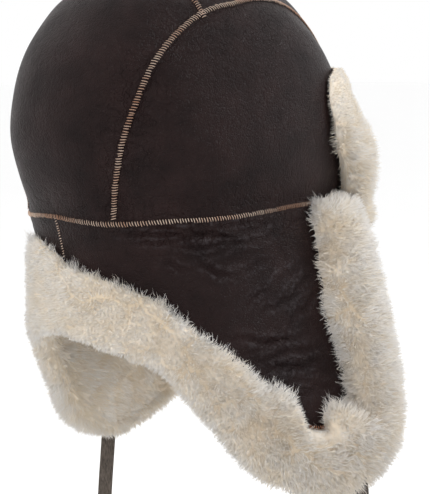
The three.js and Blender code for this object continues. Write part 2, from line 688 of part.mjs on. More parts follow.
const SIDES = [
  { name: "right", sign: 1, route: TIE_ROUTE_RIGHT },
  { name: "left", sign: -1, route: TIE_ROUTE_LEFT },
];
for (const { name, sign, route } of SIDES) {
  addPiece(`ear_panel_${name}`, earWall(sign, 0, -HIDE_THICKNESS), LEATHER);
  addPiece(`flap_wool_${name}`, earWall(sign, -WOOL_OUTSIDE, -WOOL_OUTSIDE - FLAP_PILE), WOOL);
  addPiece(`trim_fur_${name}`, geometryOf(trimSolid(sign, route)), WOOL);
  addPiece(`tie_${name}`, tieGeometry(route), TIE);
}

addPiece("front_flap", visorLeather(), LEATHER);
addPiece("front_flap_fur", geometryOf(visorFur()), WOOL);

export default helmet;
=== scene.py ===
"""Leather flying helmet of shearling hide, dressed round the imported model.

The helmet keeps the form that it has when worn: a domed crown of leather panels joined by
stitched welts, two ear panels with a deep wool trim, a turned-up front flap and two ties.
Shapes are worked out in millimetres, in the model's own frame, and made into metres where a
mesh is written.
"""

import logging
import math
from dataclasses import dataclass, field
from enum import Enum
from typing import Callable, Sequence

import bmesh
import bpy
import numpy as np
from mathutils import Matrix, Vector, kdtree


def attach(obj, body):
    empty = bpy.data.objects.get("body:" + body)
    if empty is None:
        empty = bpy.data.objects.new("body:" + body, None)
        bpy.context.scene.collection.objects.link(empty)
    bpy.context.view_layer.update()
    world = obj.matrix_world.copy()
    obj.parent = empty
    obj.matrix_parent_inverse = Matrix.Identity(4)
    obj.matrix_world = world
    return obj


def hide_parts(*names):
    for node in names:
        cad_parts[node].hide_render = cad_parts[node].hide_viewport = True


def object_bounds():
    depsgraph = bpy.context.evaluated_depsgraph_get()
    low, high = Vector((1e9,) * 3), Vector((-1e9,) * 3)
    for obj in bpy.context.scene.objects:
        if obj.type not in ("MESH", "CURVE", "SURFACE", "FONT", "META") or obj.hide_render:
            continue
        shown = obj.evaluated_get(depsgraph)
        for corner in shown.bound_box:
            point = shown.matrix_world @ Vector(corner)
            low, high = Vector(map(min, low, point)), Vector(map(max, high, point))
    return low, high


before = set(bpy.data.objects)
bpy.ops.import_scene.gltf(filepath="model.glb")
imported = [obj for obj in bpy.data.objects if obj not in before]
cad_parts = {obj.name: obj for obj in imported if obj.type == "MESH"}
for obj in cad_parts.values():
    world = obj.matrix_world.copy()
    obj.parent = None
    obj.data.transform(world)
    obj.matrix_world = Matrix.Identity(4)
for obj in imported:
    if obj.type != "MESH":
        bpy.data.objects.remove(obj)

log = logging.getLogger("helmet")

CAD_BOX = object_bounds()
MM = 0.001
SEED = 20260
BODY = "root"

Array = np.ndarray
Numbers = np.ndarray | float
Colour = tuple[float, float, float]


class Slot(Enum):
    """The record's material slots."""

    HIDE = "hide"
    WOOL = "wool"
    TIE = "tie_leather"
    THREAD = "thread"


class Side(Enum):
    """The wearer's right or left: the sign of an angle from the back."""

    RIGHT = 1
    LEFT = -1

    @property
    def label(self) -> str:
        """The word used in names of pieces."""
        return self.name.lower()


# Small maths


def smoothstep(low: float, high: float, value: Array) -> Array:
    """Runs smoothly from 0 at low to 1 at high."""
    share = np.clip((value - low) / (high - low), 0.0, 1.0)
    return share * share * (3.0 - 2.0 * share)


def unit(vectors: Array) -> Array:
    """Vectors made one long, along the last axis."""
    return vectors / np.maximum(np.linalg.norm(vectors, axis=-1, keepdims=True), 1e-9)


def blend(a: Array, b: Array, share: Array) -> Array:
    """A value part of the way from a to b."""
    return a + (b - a) * share


def sample_rows(rows: Array, place: Array) -> Array:
    """Reads a table on a smooth curve.

    Args:
        rows: The table, one row for each section.
        place: Places from 0 to 1 along its rows, of any shape.

    Returns:
        The row's values at each place, with the columns along the last axis.
    """
    span = np.clip(place, 0.0, 1.0) * (len(rows) - 1)
    index = np.minimum(span.astype(int), len(rows) - 2)
    share = (span - index)[..., None]
    a, b, c, d = (rows[np.clip(index + step, 0, len(rows) - 1)] for step in (-1, 0, 1, 2))
    slope_in = (c - a) / 2
    slope_out = (d - b) / 2
    bend = share**2 * (3 * (c - b) - 2 * slope_in - slope_out)
    return b + share * slope_in + bend + share**3 * (2 * (b - c) + slope_in + slope_out)


def turn_from_back(angle: Array) -> Array:
    """Degrees between an angle and the back, on either side."""
    return np.abs((np.asarray(angle, float) + 180.0) % 360.0 - 180.0)


def upright_to(vectors: Array, along: Array) -> Array:
    """What is left of vectors, made one long, without their share along a direction."""
    return unit(vectors - along * np.sum(vectors * along, axis=-1, keepdims=True))


def place_of(rows: Array, column: int, value: Array) -> Array:
    """The place along a table at which one of its growing columns has a value."""
    places = np.linspace(0.0, 1.0, 801)
    return np.interp(value, sample_rows(rows, places)[:, column], places)


def resample(line: Array, pitch: float) -> Array:
    """A line's points laid out again at an even pitch.

    Args:
        line: Points in order, with any number of columns of which the first three are places.
        pitch: The wanted distance between points.

    Returns:
        The new points, with the other columns carried along.
    """
    steps = np.linalg.norm(np.diff(line[:, :3], axis=0), axis=1)
    reach = np.concatenate([[0.0], np.cumsum(steps)])
    count = max(2, int(round(reach[-1] / pitch)) + 1)
    wanted = np.linspace(0.0, reach[-1], count)
    return np.stack([np.interp(wanted, reach, column) for column in line.T], axis=1)


# The helmet's surfaces


@dataclass(frozen=True)
class HatShape:
    """The helmet's outer surfaces, by the same sizes and tables as the model's."""

    crown_half_width: float = 91.0
    crown_back_length: float = 106.0
    crown_front_length: float = 106.0
    crown_height: float = 146.0
    crown_squareness: float = 2.2
    hide_thickness: float = 1.8
    crown_pile: float = 8.0
    flap_pile: float = 11.0
    piece_gap: float = 0.3
    band_rise: float = 5.2
    band_rise_span: tuple[float, float] = (58.0, 112.0)
    band_sag: float = 2.2
    band_sag_angle: float = 27.0
    band_sag_half_span: float = 18.0
    band_wave_reach: float = 100.0
    seam_pinch: float = 2.6
    seam_pinch_reach: float = 11.0
    seam_blend: float = 4.0
    pucker_reach: float = 17.0
    cross_seam_back: float = 33.0
    flap_drop: float = 167.0
    flap_flare: float = 43.0
    flare_start: float = 50.0
    flare_full: float = 130.0
    nape_lean: float = 8.0
    nape_reach: float = 90.0
    nape_full: float = 30.0
    nape_end: float = 75.0
    trim_thickness: float = 13.5
    trim_wrap: float = 9.0
    leather_share: float = 0.78
    visor_height: float = 88.0
    visor_stand_off: float = 9.0
    visor_fur: float = 9.5
    visor_half_angle: float = 30.0
    # Columns: height, side, back, front
    crown_sections: Array = field(default_factory=lambda: np.array([
        [0.0, 0.91, 0.865, 1.085],
        [0.16, 0.965, 0.94, 1.07],
        [0.33, 1.0, 0.985, 1.035],
        [0.51, 0.98, 0.95, 0.99],
        [0.65, 0.925, 0.885, 0.915],
        [0.767, 0.84, 0.785, 0.815],
        [0.863, 0.735, 0.675, 0.69],
        [0.93, 0.59, 0.54, 0.55],
        [0.976, 0.405, 0.37, 0.385],
        [0.995, 0.2, 0.19, 0.2],
        [1.0, 0.0, 0.0, 0.0],
    ]))
    # Columns: height, half width
    strip_outline: Array = field(default_factory=lambda: np.array([
        [-0.2, 0.45],
        [0.0, 0.485],
        [0.315, 0.63],
        [0.55, 0.7],
        [0.82, 0.73],
        [1.2, 0.73],
    ]))
    strip_taper_from: float = 10.0
    strip_taper: float = 0.0027
    # Columns: top angle, inner angle, inner drop, outer angle, outer drop, fullness
    edge_stations: Array = field(default_factory=lambda: np.array([
        [0, 0, 0.15, 0, 0.42, 0.62],
        [18, 20, 0.18, 24, 0.455, 0.62],
        [36, 42, 0.25, 45, 0.52, 0.66],
        [50, 55, 0.34, 56, 0.63, 0.75],
        [64, 69, 0.43, 68, 0.76, 0.85],
        [78, 83, 0.55, 80, 0.89, 0.95],
        [92, 94, 0.68, 94, 0.97, 1.05],
        [104, 103, 0.725, 107, 1.0, 1.1],
        [114, 112, 0.72, 121, 0.93, 1.35],
        [121, 116, 0.66, 131, 0.8, 1.55],
        [127, 118, 0.55, 137, 0.62, 1.65],
        [132, 119, 0.38, 141, 0.43, 1.65],
        [136, 121, 0.19, 144, 0.23, 1.5],
        [139, 121, 0.03, 145, 0.04, 1.2],
    ], dtype=float))
    # The trim's top end: inner angle, inner drop, outer angle, outer drop, fullness
    trim_top: tuple[float, ...] = (122, -0.01, 143, -0.025, 0.7)
    # Columns: angle, drop, half span, reach, rise
    hide_folds: Array = field(default_factory=lambda: np.array([
        [62, 0.09, 26, 0.03, 1.1],
        [80, 0.17, 24, 0.035, -1.3],
        [100, 0.27, 14, 0.05, 1.6],
        [96, 0.52, 20, 0.035, -1.5],
        [98, 0.58, 18, 0.03, 1.2],
    ]))
    # Columns: off, height, span
    visor_profile: Array = field(default_factory=lambda: np.array([
        [-0.1, 0, 1.0],
        [-0.02, -0.035, 1.0],
        [0.25, -0.08, 1.0],
        [0.75, -0.085, 1.0],
        [1.15, -0.035, 1.0],
        [1.25, 0.08, 1.0],
        [1.1, 0.3, 0.99],
        [0.85, 0.55, 0.95],
        [0.62, 0.8, 0.86],
        [0.5, 0.95, 0.72],
    ]))
    visor_upright_from: int = 4

    @property
    def band_height(self) -> float:
        """The height of the seam between crown and ear panels."""
        return -(self.crown_height - self.hide_thickness - self.piece_gap - self.crown_pile)

    @property
    def wool_outside(self) -> float:
        """How far inside the leather's face the wool starts."""
        return self.hide_thickness + self.piece_gap

    @property
    def trim_rows(self) -> Array:
        """The trim's stations: inner angle and drop, outer angle and drop, fullness."""
        return np.vstack([self.edge_stations[:, 1:], np.array([self.trim_top])])

    def plan_points(self, angle: Array, sections: Array, extra: Numbers = 0.0) -> Array:
        """Points of the plan outline.

        Args:
            angle: Degrees from the back towards the wearer's right.
            sections: Shares of the half width and of the back and front lengths.
            extra: How far past the outline, in millimetres.

        Returns:
            The points' x and y.
        """
        radians = np.radians(angle)
        side, back, front = (np.maximum(sections[..., k], 1e-5) for k in range(3))
        across = np.abs(np.sin(radians)) / (side * self.crown_half_width)
        length = np.where(
            np.cos(radians) > 0, back * self.crown_back_length, front * self.crown_front_length
        )
        along = np.abs(np.cos(radians)) / length
        power = self.crown_squareness
        reach = (across**power + along**power) ** (-1.0 / power) + extra
        return np.stack([-np.sin(radians) * reach, np.cos(radians) * reach], axis=-1)

    def strip_half_width(self, points: Array) -> Array:
        """Half the width of the crown's middle strip, level with points of the crown."""
        height = (points[..., 2] - self.band_height) / self.crown_height
        place = place_of(self.strip_outline, 0, height)
        taper = 1.0 - self.strip_taper * np.maximum(0.0, self.strip_taper_from - points[..., 1])
        return sample_rows(self.strip_outline, place)[..., 1] * self.crown_half_width * taper

    def past_strip(self, points: Array) -> Array:
        """How far points of the crown lie outside its middle strip."""
        return np.abs(points[..., 0]) - self.strip_half_width(points)

    def pucker(self, points: Array) -> Array:
        """How strongly the leather puckers at points, from 1 on a seam to 0 away from all."""
        from_band = np.abs(points[..., 2] - self.band_height)
        from_side = np.where(points[..., 2] > self.band_height, np.abs(self.past_strip(points)), 99.0)
        reach = np.minimum(from_side, from_band * 1.2)
        return np.exp(-((reach / self.pucker_reach) ** 2))

    def seam_pull(self, points: Array) -> Array:
        """How far the sewn seams pull the crown in at points of it."""
        past = self.past_strip(points)
        from_side = np.abs(past)
        inside = smoothstep(-self.seam_blend, self.seam_blend, -past)
        from_cross = np.abs(points[..., 1] - self.cross_seam_back)
        side = np.exp(-((from_side / self.seam_pinch_reach) ** 2))
        cross = inside * np.exp(-((from_cross / self.seam_pinch_reach) ** 2))
        return self.seam_pinch * np.maximum(side, cross)

    def band_wave(self, angle: Array, height: Array) -> Array:
        """How far the band seam's wave lifts points at heights above the seam's own level."""
        turn = turn_from_back(angle)
        rise = self.band_rise * smoothstep(*self.band_rise_span, turn)
        off = (turn - self.band_sag_angle) / self.band_sag_half_span
        fade = 1.0 - smoothstep(0.0, self.band_wave_reach, np.abs(height))
        return (rise - self.band_sag * np.exp(-off * off)) * fade

    def bare_crown(self, angle: Array, place: Array) -> Array:
        """Points of the crown before its seams pull it in."""
        angle, place = np.broadcast_arrays(np.asarray(angle, float), np.asarray(place, float))
        row = sample_rows(self.crown_sections, place)
        plan = self.plan_points(angle, row[..., 1:])
        rise = row[..., 0] * self.crown_height
        height = self.band_height + rise + self.band_wave(angle, rise)
        return np.concatenate([plan, height[..., None]], axis=-1)

    def crown_normals(self, angle: Array, place: Array) -> Array:
        """Outward directions of the crown, level at the band seam and upright at the top."""
        place = np.asarray(place, float)
        here = self.bare_crown(angle, place)
        aside = self.bare_crown(np.asarray(angle) + 1.0, place) - here
        above = self.bare_crown(angle, np.minimum(place + 0.01, 1.0)) - here
        normal = unit(np.cross(aside, above))
        normal[..., 2] = normal[..., 2] * smoothstep(0.0, 0.08, place)
        top = np.broadcast_to(place >= 0.992, normal.shape[:-1])
        normal[top] = (0.0, 0.0, 1.0)
        return unit(normal)

    def crown_points(self, angle: Array, place: Array, out: Numbers = 0.0) -> Array:
        """Points of the crown: place runs from 0 at the band seam to 1 at the top."""
        bare = self.bare_crown(angle, place)
        pull = self.seam_pull(bare) * smoothstep(0.0, 0.05, np.asarray(place, float))
        return bare + self.crown_normals(angle, place) * (out - pull)[..., None]

    def wall_flare(self, angle: Array, drop: Array) -> Array:
        """How far the wall below the band seam stands outside the seam's own outline."""
        turn = turn_from_back(angle)
        beside = smoothstep(self.flare_start, self.flare_full, turn)
        nape = 1.0 - smoothstep(self.nape_full, self.nape_end, turn)
        lean = self.nape_lean * nape * np.sin(np.pi * np.minimum(1.0, drop / self.nape_reach))
        rise = np.zeros(np.broadcast(turn, drop).shape)
        for fold_angle, fold_drop, half_span, reach, height in self.hide_folds:
            along = (turn - fold_angle) / half_span
            across = (drop / self.flap_drop - fold_drop) / reach
            rise = rise + height * np.exp(-along * along - across * across)
        flare = self.flap_flare * beside * (drop / self.flap_drop) - lean + rise
        return np.where(drop <= 0, 0.0, flare)

    def wall_points(self, angle: Numbers, drop: Numbers, out: Numbers = 0.0) -> Array:
        """Points of the wall: drop is measured down from the band seam, out is level."""
        angle, drop, out = np.broadcast_arrays(
            np.asarray(angle, float), np.asarray(drop, float), np.asarray(out, float)
        )
        rise = np.maximum(0.0, -drop) / self.crown_height
        place = np.where(rise > 0, place_of(self.crown_sections, 0, rise), 0.0)
        sections = sample_rows(self.crown_sections, place)[..., 1:]
        at = [self.plan_points(angle + turn, sections, self.wall_flare(angle + turn, drop))
              for turn in (-1.0, 0.0, 1.0)]
        along = at[2] - at[0]
        normal = unit(np.stack([along[..., 1], -along[..., 0]], axis=-1))
        plan = at[1] + normal * out[..., None]
        height = self.band_height - drop + self.band_wave(angle, drop)
        return np.concatenate([plan, height[..., None]], axis=-1)

    def wall_place(self, points: Array) -> tuple[Array, Array]:
        """The angle and drop at which points of the wall lie, on either side of the hat."""
        angle = np.degrees(np.arctan2(np.abs(points[..., 0]), points[..., 1]))
        fallen = self.band_height - points[..., 2]
        return angle, fallen + self.band_wave(angle, fallen)

    def trim_points(self, side: Side, place: Array, across: Numbers, out: Numbers) -> Array:
        """Points over the trim: across its width from the inner border, out from the hide."""
        row = sample_rows(self.trim_rows, place)
        angle = blend(row[..., 0], row[..., 2], across)
        drop = self.flap_drop * blend(row[..., 1], row[..., 3], across)
        return self.wall_points(side.value * angle, drop, out)

    def trim_fullness(self, place: Array) -> Array:
        """How deep the trim is, as a share of its plain depth."""
        return sample_rows(self.trim_rows, place)[..., 4]

    def panel_place(self, place: Array, share: Array) -> tuple[Array, Array]:
        """The angle and drop at shares of an ear panel's way from the seam to its edge."""
        row = sample_rows(self.edge_stations, place)
        edge_angle = blend(row[..., 1], row[..., 3], self.leather_share)
        edge_drop = self.flap_drop * blend(row[..., 2], row[..., 4], self.leather_share)
        return blend(row[..., 0], edge_angle, share), blend(self.piece_gap, edge_drop, share)

    def panel_points(self, side: Side, place: Array, share: Array, out: Numbers) -> Array:
        """Points of an ear panel: share runs from the band seam to the leather's edge."""
        angle, drop = self.panel_place(place, share)
        return self.wall_points(side.value * angle, drop, out)

    def visor_points(self, across: Array, off: Array, height: Array, span: Array) -> Array:
        """Points in front of the crown, where the front flap stands."""
        return self.wall_points(180.0 + across * span * self.visor_half_angle, -height, off)

    def visor_off(self, height: Array) -> Array:
        """How far the front flap stands off the crown at shares of its height."""
        upright = self.visor_profile[self.visor_upright_from:][:, [1, 0, 2]]
        return sample_rows(upright, place_of(upright, 0, height))[..., 1] * self.visor_stand_off


SHAPE = HatShape()

# Meshes


def grid_bmesh(points: Array, closed: bool, merge: float = 0.01) -> bmesh.types.BMesh:
    """A grid laid onto a surface.

    Args:
        points: Places in millimetres, rows by columns.
        closed: Whether the last column meets the first.
        merge: Points nearer than this, in millimetres, become one.

    Returns:
        The surface in metres, with its open ends filled and its faces outwards.
    """
    if closed:
        points = np.concatenate([points, points[:, :1]], axis=1)
    rows, columns = points.shape[:2]
    sheet = bmesh.new()
    bmesh.ops.create_grid(sheet, x_segments=columns - 1, y_segments=rows - 1, size=0.5)
    for vert in sheet.verts:
        column = round((vert.co.x + 0.5) * (columns - 1))
        row = round((vert.co.y + 0.5) * (rows - 1))
        vert.co = Vector(points[row, column] * MM)
    bmesh.ops.remove_doubles(sheet, verts=sheet.verts, dist=merge * MM)
    bmesh.ops.dissolve_degenerate(sheet, edges=sheet.edges, dist=merge * MM)
    open_edges = [edge for edge in sheet.edges if edge.is_boundary]
    if open_edges:
        bmesh.ops.holes_fill(sheet, edges=open_edges, sides=0)
    bmesh.ops.recalc_face_normals(sheet, faces=sheet.faces)
    return sheet


def mesh_arrays(shape: bmesh.types.BMesh) -> tuple[Array, Array]:
    """The corners and triangles of a bmesh, which is freed."""
    bmesh.ops.triangulate(shape, faces=shape.faces)
    shape.verts.index_update()
    corners = np.array([vert.co for vert in shape.verts], dtype=float)
    triangles = np.array([[vert.index for vert in face.verts] for face in shape.faces], int)
    shape.free()
    return corners, triangles


def place_object(name: str, data: bpy.types.ID) -> bpy.types.Object:
    """Adds an object with its data to the scene."""
    made = bpy.data.objects.new(name, data)
    bpy.context.scene.collection.objects.link(made)
    return made


def put_piece(
    name: str,
    mesh: bpy.types.Mesh,
    material: bpy.types.Material,
    replaces: Sequence[str] = (),
) -> bpy.types.Object:
    """Adds a finished mesh to the scene as a piece that rides on the helmet.

    Args:
        name: The piece's name.
        mesh: Its mesh, in place.
        material: Its finish.
        replaces: The model's nodes that it stands for.

    Returns:
        The new object.
    """
    piece = place_object(name, mesh)
    mesh.materials.append(material)
    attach(piece, BODY)
    if replaces:
        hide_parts(*replaces)
    log.info("%s: %d faces", name, len(mesh.polygons))
    return piece


def smooth_mesh(name: str, shape: bmesh.types.BMesh, sharp_degrees: float = 60.0) -> bpy.types.Mesh:
    """A bmesh written to a smooth-shaded mesh whose sharp edges stay sharp."""
    mesh = bpy.data.meshes.new(name)
    shape.to_mesh(mesh)
    shape.free()
    mesh.shade_smooth()
    mesh.set_sharp_from_angle(angle=math.radians(sharp_degrees))
    return mesh


def array_mesh(
    name: str,
    corners: Array,
    triangles: Array,
    facing: Array | None = None,
    **values: Array,
) -> bpy.types.Mesh:
    """A smooth-shaded mesh of joined parts.

    Args:
        name: The mesh's name.
        corners: Its corners in metres.
        triangles: Its triangles.
        facing: The way that each corner is shaded, or zeros where it follows its faces.
        values: A number for each corner, kept as attributes under these names.

    Returns:
        The mesh.
    """
    mesh = bpy.data.meshes.new(name)
    mesh.vertices.add(len(corners))
    mesh.vertices.foreach_set("co", corners.astype(np.float32).ravel())
    mesh.loops.add(triangles.size)
    mesh.loops.foreach_set("vertex_index", triangles.astype(np.int32).ravel())
    mesh.polygons.add(len(triangles))
    mesh.polygons.foreach_set("loop_start", np.arange(0, triangles.size, 3, dtype=np.int32))
    mesh.update(calc_edges=True)
    add_values(mesh, values)
    mesh.shade_smooth()
    if facing is not None:
        mesh.normals_split_custom_set_from_vertices(facing.tolist())
    return mesh


def add_values(mesh: bpy.types.Mesh, values: dict[str, Array]) -> None:
    """Keeps numbers for each corner of a mesh as attributes."""
    for key, numbers in values.items():
        attribute = mesh.attributes.new(key, "FLOAT", "POINT")
        attribute.data.foreach_set("value", numbers.astype(np.float32))


def hide_mesh(name: str, shape: bmesh.types.BMesh, sharp_degrees: float,
              ridges: Callable[[Array], Array] | None = None) -> bpy.types.Mesh:
    """A piece of leather as a mesh.

    Args:
        name: The mesh's name.
        shape: The leather, which is freed.
        sharp_degrees: Edges that turn more than this stay sharp.
        ridges: How much creases lift the hide at points, or None where it has no creases.

    Returns:
        The mesh, which knows how near its seams and how lifted each corner is.
    """
    mesh = smooth_mesh(name, shape, sharp_degrees)
    corners = np.array([vert.co for vert in mesh.vertices]) / MM
    lifted = np.zeros(len(corners)) if ridges is None else ridges(corners)
    add_values(mesh, {"pucker": SHAPE.pucker(corners), "ridge": lifted})
    return mesh


def swept_bmesh(line: Array, across: Array, up: Array, half_width: float, half_height: float,
                sides: int = 10, squareness: float = 2.0) -> bmesh.types.BMesh:
    """A bar with a rounded section, swept along a line.

    Args:
        line: The centre line in millimetres.
        across: The direction of its width at each point.
        up: The direction of its height at each point.
        half_width: Half the width.
        half_height: Half the height.
        sides: Corners of the section.
        squareness: 2 for an ellipse, more for a flat bar with round edges.

    Returns:
        The closed bar.
    """
    turn = np.linspace(0.0, 2 * np.pi, sides, endpoint=False) + np.pi / sides
    power = 2.0 / squareness
    x = half_width * np.sign(np.cos(turn)) * np.abs(np.cos(turn)) ** power
    y = half_height * np.sign(np.sin(turn)) * np.abs(np.sin(turn)) ** power
    rings = line[:, None] + across[:, None] * x[None, :, None] + up[:, None] * y[None, :, None]
    return grid_bmesh(rings, closed=True)


# Materials


class Wiring:
    """Adds nodes to a tree and joins them."""

    def __init__(self, tree: bpy.types.NodeTree) -> None:
        """Starts with a tree that has no nodes."""
        self.tree = tree
        tree.nodes.clear()

    def node(self, kind: str, **settings: object) -> bpy.types.Node:
        """A new node with its settings."""
        made = self.tree.nodes.new(kind)
        for key, value in settings.items():
            setattr(made, key, value)
        return made

    def link(self, source: bpy.types.NodeSocket, target: bpy.types.NodeSocket) -> None:
        """Joins an output to an input."""
        self.tree.links.new(source, target)

    def noise(self, vector: bpy.types.NodeSocket, scale: float, detail: float = 3.0,
              roughness: float = 0.55) -> bpy.types.NodeSocket:
        """A noise value on the given coordinates."""
        made = self.node("ShaderNodeTexNoise")
        made.inputs["Scale"].default_value = scale
        made.inputs["Detail"].default_value = detail
        made.inputs["Roughness"].default_value = roughness
        self.link(vector, made.inputs["Vector"])
        return made.outputs["Fac"]

    def math(self, operation: str, *values: object) -> bpy.types.NodeSocket:
        """A math node on sockets or numbers."""
        made = self.node("ShaderNodeMath", operation=operation)
        for slot, value in enumerate(values):
            if isinstance(value, bpy.types.NodeSocket):
                self.link(value, made.inputs[slot])
            else:
                made.inputs[slot].default_value = value
        return made.outputs[0]

    def span(self, value: bpy.types.NodeSocket, low: float, high: float, to_low: float = 0.0,
             to_high: float = 1.0) -> bpy.types.NodeSocket:
        """A value moved from one range to another."""
        made = self.node("ShaderNodeMapRange")
        numbers = (low, high, to_low, to_high)
        for slot, number in zip(("From Min", "From Max", "To Min", "To Max"), numbers):
            made.inputs[slot].default_value = number
        self.link(value, made.inputs["Value"])
        return made.outputs["Result"]

    def mix(self, factor: bpy.types.NodeSocket, first: object, second: object) -> bpy.types.NodeSocket:
        """A colour between two colours, given as sockets or as red, green and blue."""
        made = self.node("ShaderNodeMix", data_type="RGBA")
        self.link(factor, made.inputs[0])
        for slot, value in ((6, first), (7, second)):
            if isinstance(value, bpy.types.NodeSocket):
                self.link(value, made.inputs[slot])
            else:
                made.inputs[slot].default_value = (*value, 1.0)
        return made.outputs[2]


class MaterialWiring(Wiring):
    """The nodes of a material: one principled shader, joined to the output."""

    def __init__(self, name: str) -> None:
        """Starts a material on Object coordinates."""
        self.made = bpy.data.materials.new(name)
        self.made.use_nodes = True
        super().__init__(self.made.node_tree)
        self.place = self.node("ShaderNodeTexCoord").outputs["Object"]
        self.shader = self.node("ShaderNodeBsdfPrincipled")
        outlet = self.node("ShaderNodeOutputMaterial")
        self.link(self.shader.outputs["BSDF"], outlet.inputs["Surface"])

    def attribute(self, name: str) -> bpy.types.NodeSocket:
        """A number that the mesh keeps for each corner."""
        return self.node("ShaderNodeAttribute", attribute_name=name).outputs["Fac"]

    def feed(self, **sources: bpy.types.NodeSocket) -> None:
        """Joins outputs to the shader's inputs of these names, with _ for a space."""
        for key, source in sources.items():
            self.link(source, self.shader.inputs[key.replace("_", " ")])

    def settle(self, values: dict[str, object]) -> None:
        """Gives the shader its uniform values."""
        for key, value in values.items():
            self.shader.inputs[key].default_value = value

    def grain(self, group: bpy.types.NodeTree, pebbles: float) -> bpy.types.Node:
        """The shared grain of a hide, with so many pebbles on a metre."""
        effect = self.node("ShaderNodeGroup", node_tree=group)
        effect.inputs["Pebbles"].default_value = pebbles
        self.link(self.place, effect.inputs["Vector"])
        return effect

    def relief(self, height: bpy.types.NodeSocket, distance: float, strength: float = 1.0) -> None:
        """Raises the surface by a height, given how far 1 stands out in metres."""
        bump = self.node("ShaderNodeBump")
        bump.inputs["Strength"].default_value = strength
        bump.inputs["Distance"].default_value = distance
        self.link(height, bump.inputs["Height"])
        self.feed(Normal=bump.outputs["Normal"])


def hide_grain_group() -> bpy.types.NodeTree:
    """The grain of a hide, shared by the panels and the ties.

    Returns:
        A group that takes a Vector, the number of Pebbles on a metre and the strength of the
        Wrinkles, and gives the Height of the grain and a Tone for patches of colour.
    """
    tree = bpy.data.node_groups.new("hide_grain", "ShaderNodeTree")
    for way, key, kind in (
        ("INPUT", "Vector", "Vector"),
        ("INPUT", "Pebbles", "Float"),
        ("INPUT", "Wrinkles", "Float"),
        ("OUTPUT", "Height", "Float"),
        ("OUTPUT", "Tone", "Float"),
    ):
        tree.interface.new_socket(name=key, in_out=way, socket_type=f"NodeSocket{kind}")
    wiring = Wiring(tree)
    inlet = wiring.node("NodeGroupInput")
    outlet = wiring.node("NodeGroupOutput")
    vector = inlet.outputs["Vector"]
    warp = wiring.node("ShaderNodeTexNoise")
    warp.inputs["Scale"].default_value = 300.0
    wiring.link(vector, warp.inputs["Vector"])
    shift = wiring.node("ShaderNodeVectorMath", operation="MULTIPLY_ADD")
    shift.inputs[1].default_value = (0.0012, 0.0012, 0.0012)
    wiring.link(warp.outputs["Color"], shift.inputs[0])
    wiring.link(vector, shift.inputs[2])
    cells = wiring.node("ShaderNodeTexVoronoi", feature="DISTANCE_TO_EDGE")
    wiring.link(inlet.outputs["Pebbles"], cells.inputs["Scale"])
    wiring.link(shift.outputs["Vector"], cells.inputs["Vector"])
    pebble = wiring.span(cells.outputs["Distance"], 0.0, 0.22)
    fine = wiring.noise(vector, 1500.0, 2.0)
    broad = wiring.noise(vector, 42.0, 5.0, 0.6)
    grain = wiring.math("MULTIPLY_ADD", pebble, 0.35, wiring.math("MULTIPLY", fine, 0.25))
    height = wiring.math("MULTIPLY_ADD", broad, 0.8, grain)
    for scale, width, depth in ((95.0, 0.035, 0.9), (210.0, 0.05, 0.55)):
        off = wiring.math("SUBTRACT", wiring.noise(vector, scale), 0.5)
        groove = wiring.span(wiring.math("ABSOLUTE", off), 0.0, width, 1.0, 0.0)
        pressed = wiring.math("MULTIPLY", groove, inlet.outputs["Wrinkles"])
        height = wiring.math("MULTIPLY_ADD", pressed, -depth, height)
    wiring.link(height, outlet.inputs["Height"])
    wiring.link(broad, outlet.inputs["Tone"])
    return tree


@dataclass(frozen=True)
class HideFinish:
    """Dark brown waxed hide, in soft gloss, with a fine pebbled grain."""

    name: str = "waxed_hide"
    deep: Colour = (0.0078, 0.0036, 0.0036)
    worn: Colour = (0.018, 0.0086, 0.0082)
    # A lighter grey on the lifted crease ridges: a painted highlight, with some wear.
    ridge: Colour = (0.05, 0.042, 0.045)
    ridge_breaks: float = 420.0
    ridge_share: float = 0.55
    pebbles: float = 720.0
    wrinkles: tuple[float, float] = (0.4, 1.3)
    rough: tuple[float, float] = (0.46, 0.32)
    relief: float = 0.0009
    strength: float = 0.75
    gloss: float = 0.1

    def material(self, group: bpy.types.NodeTree) -> bpy.types.Material:
        """The finish, with the shared grain in it, more wrinkles beside the seams and a painted
        highlight, with some wear, on the crease ridges.
        """
        wiring = MaterialWiring(self.name)
        grain = wiring.grain(group, self.pebbles)
        wrinkles = wiring.span(wiring.attribute("pucker"), 0.0, 1.0, *self.wrinkles)
        wiring.link(wrinkles, grain.inputs["Wrinkles"])
        patches = grain.outputs["Tone"]
        # The crease ridges, broken by noise, turn a lighter grey: painted highlight, with some wear.
        broken = wiring.span(wiring.noise(wiring.place, self.ridge_breaks), 0.42, 0.6)
        lifted = wiring.math("MULTIPLY", wiring.attribute("ridge"), broken)
        rubbed_and_sheen = wiring.math("MULTIPLY", lifted, self.ridge_share)
        brown = wiring.mix(wiring.span(patches, 0.32, 0.7), self.deep, self.worn)
        wiring.feed(
            Base_Color=wiring.mix(rubbed_and_sheen, brown, self.ridge),
            Roughness=wiring.span(patches, 0.3, 0.7, *self.rough),
        )
        wiring.settle({"Specular IOR Level": self.gloss})
        wiring.relief(grain.outputs["Height"], self.relief, self.strength)
        return wiring.made


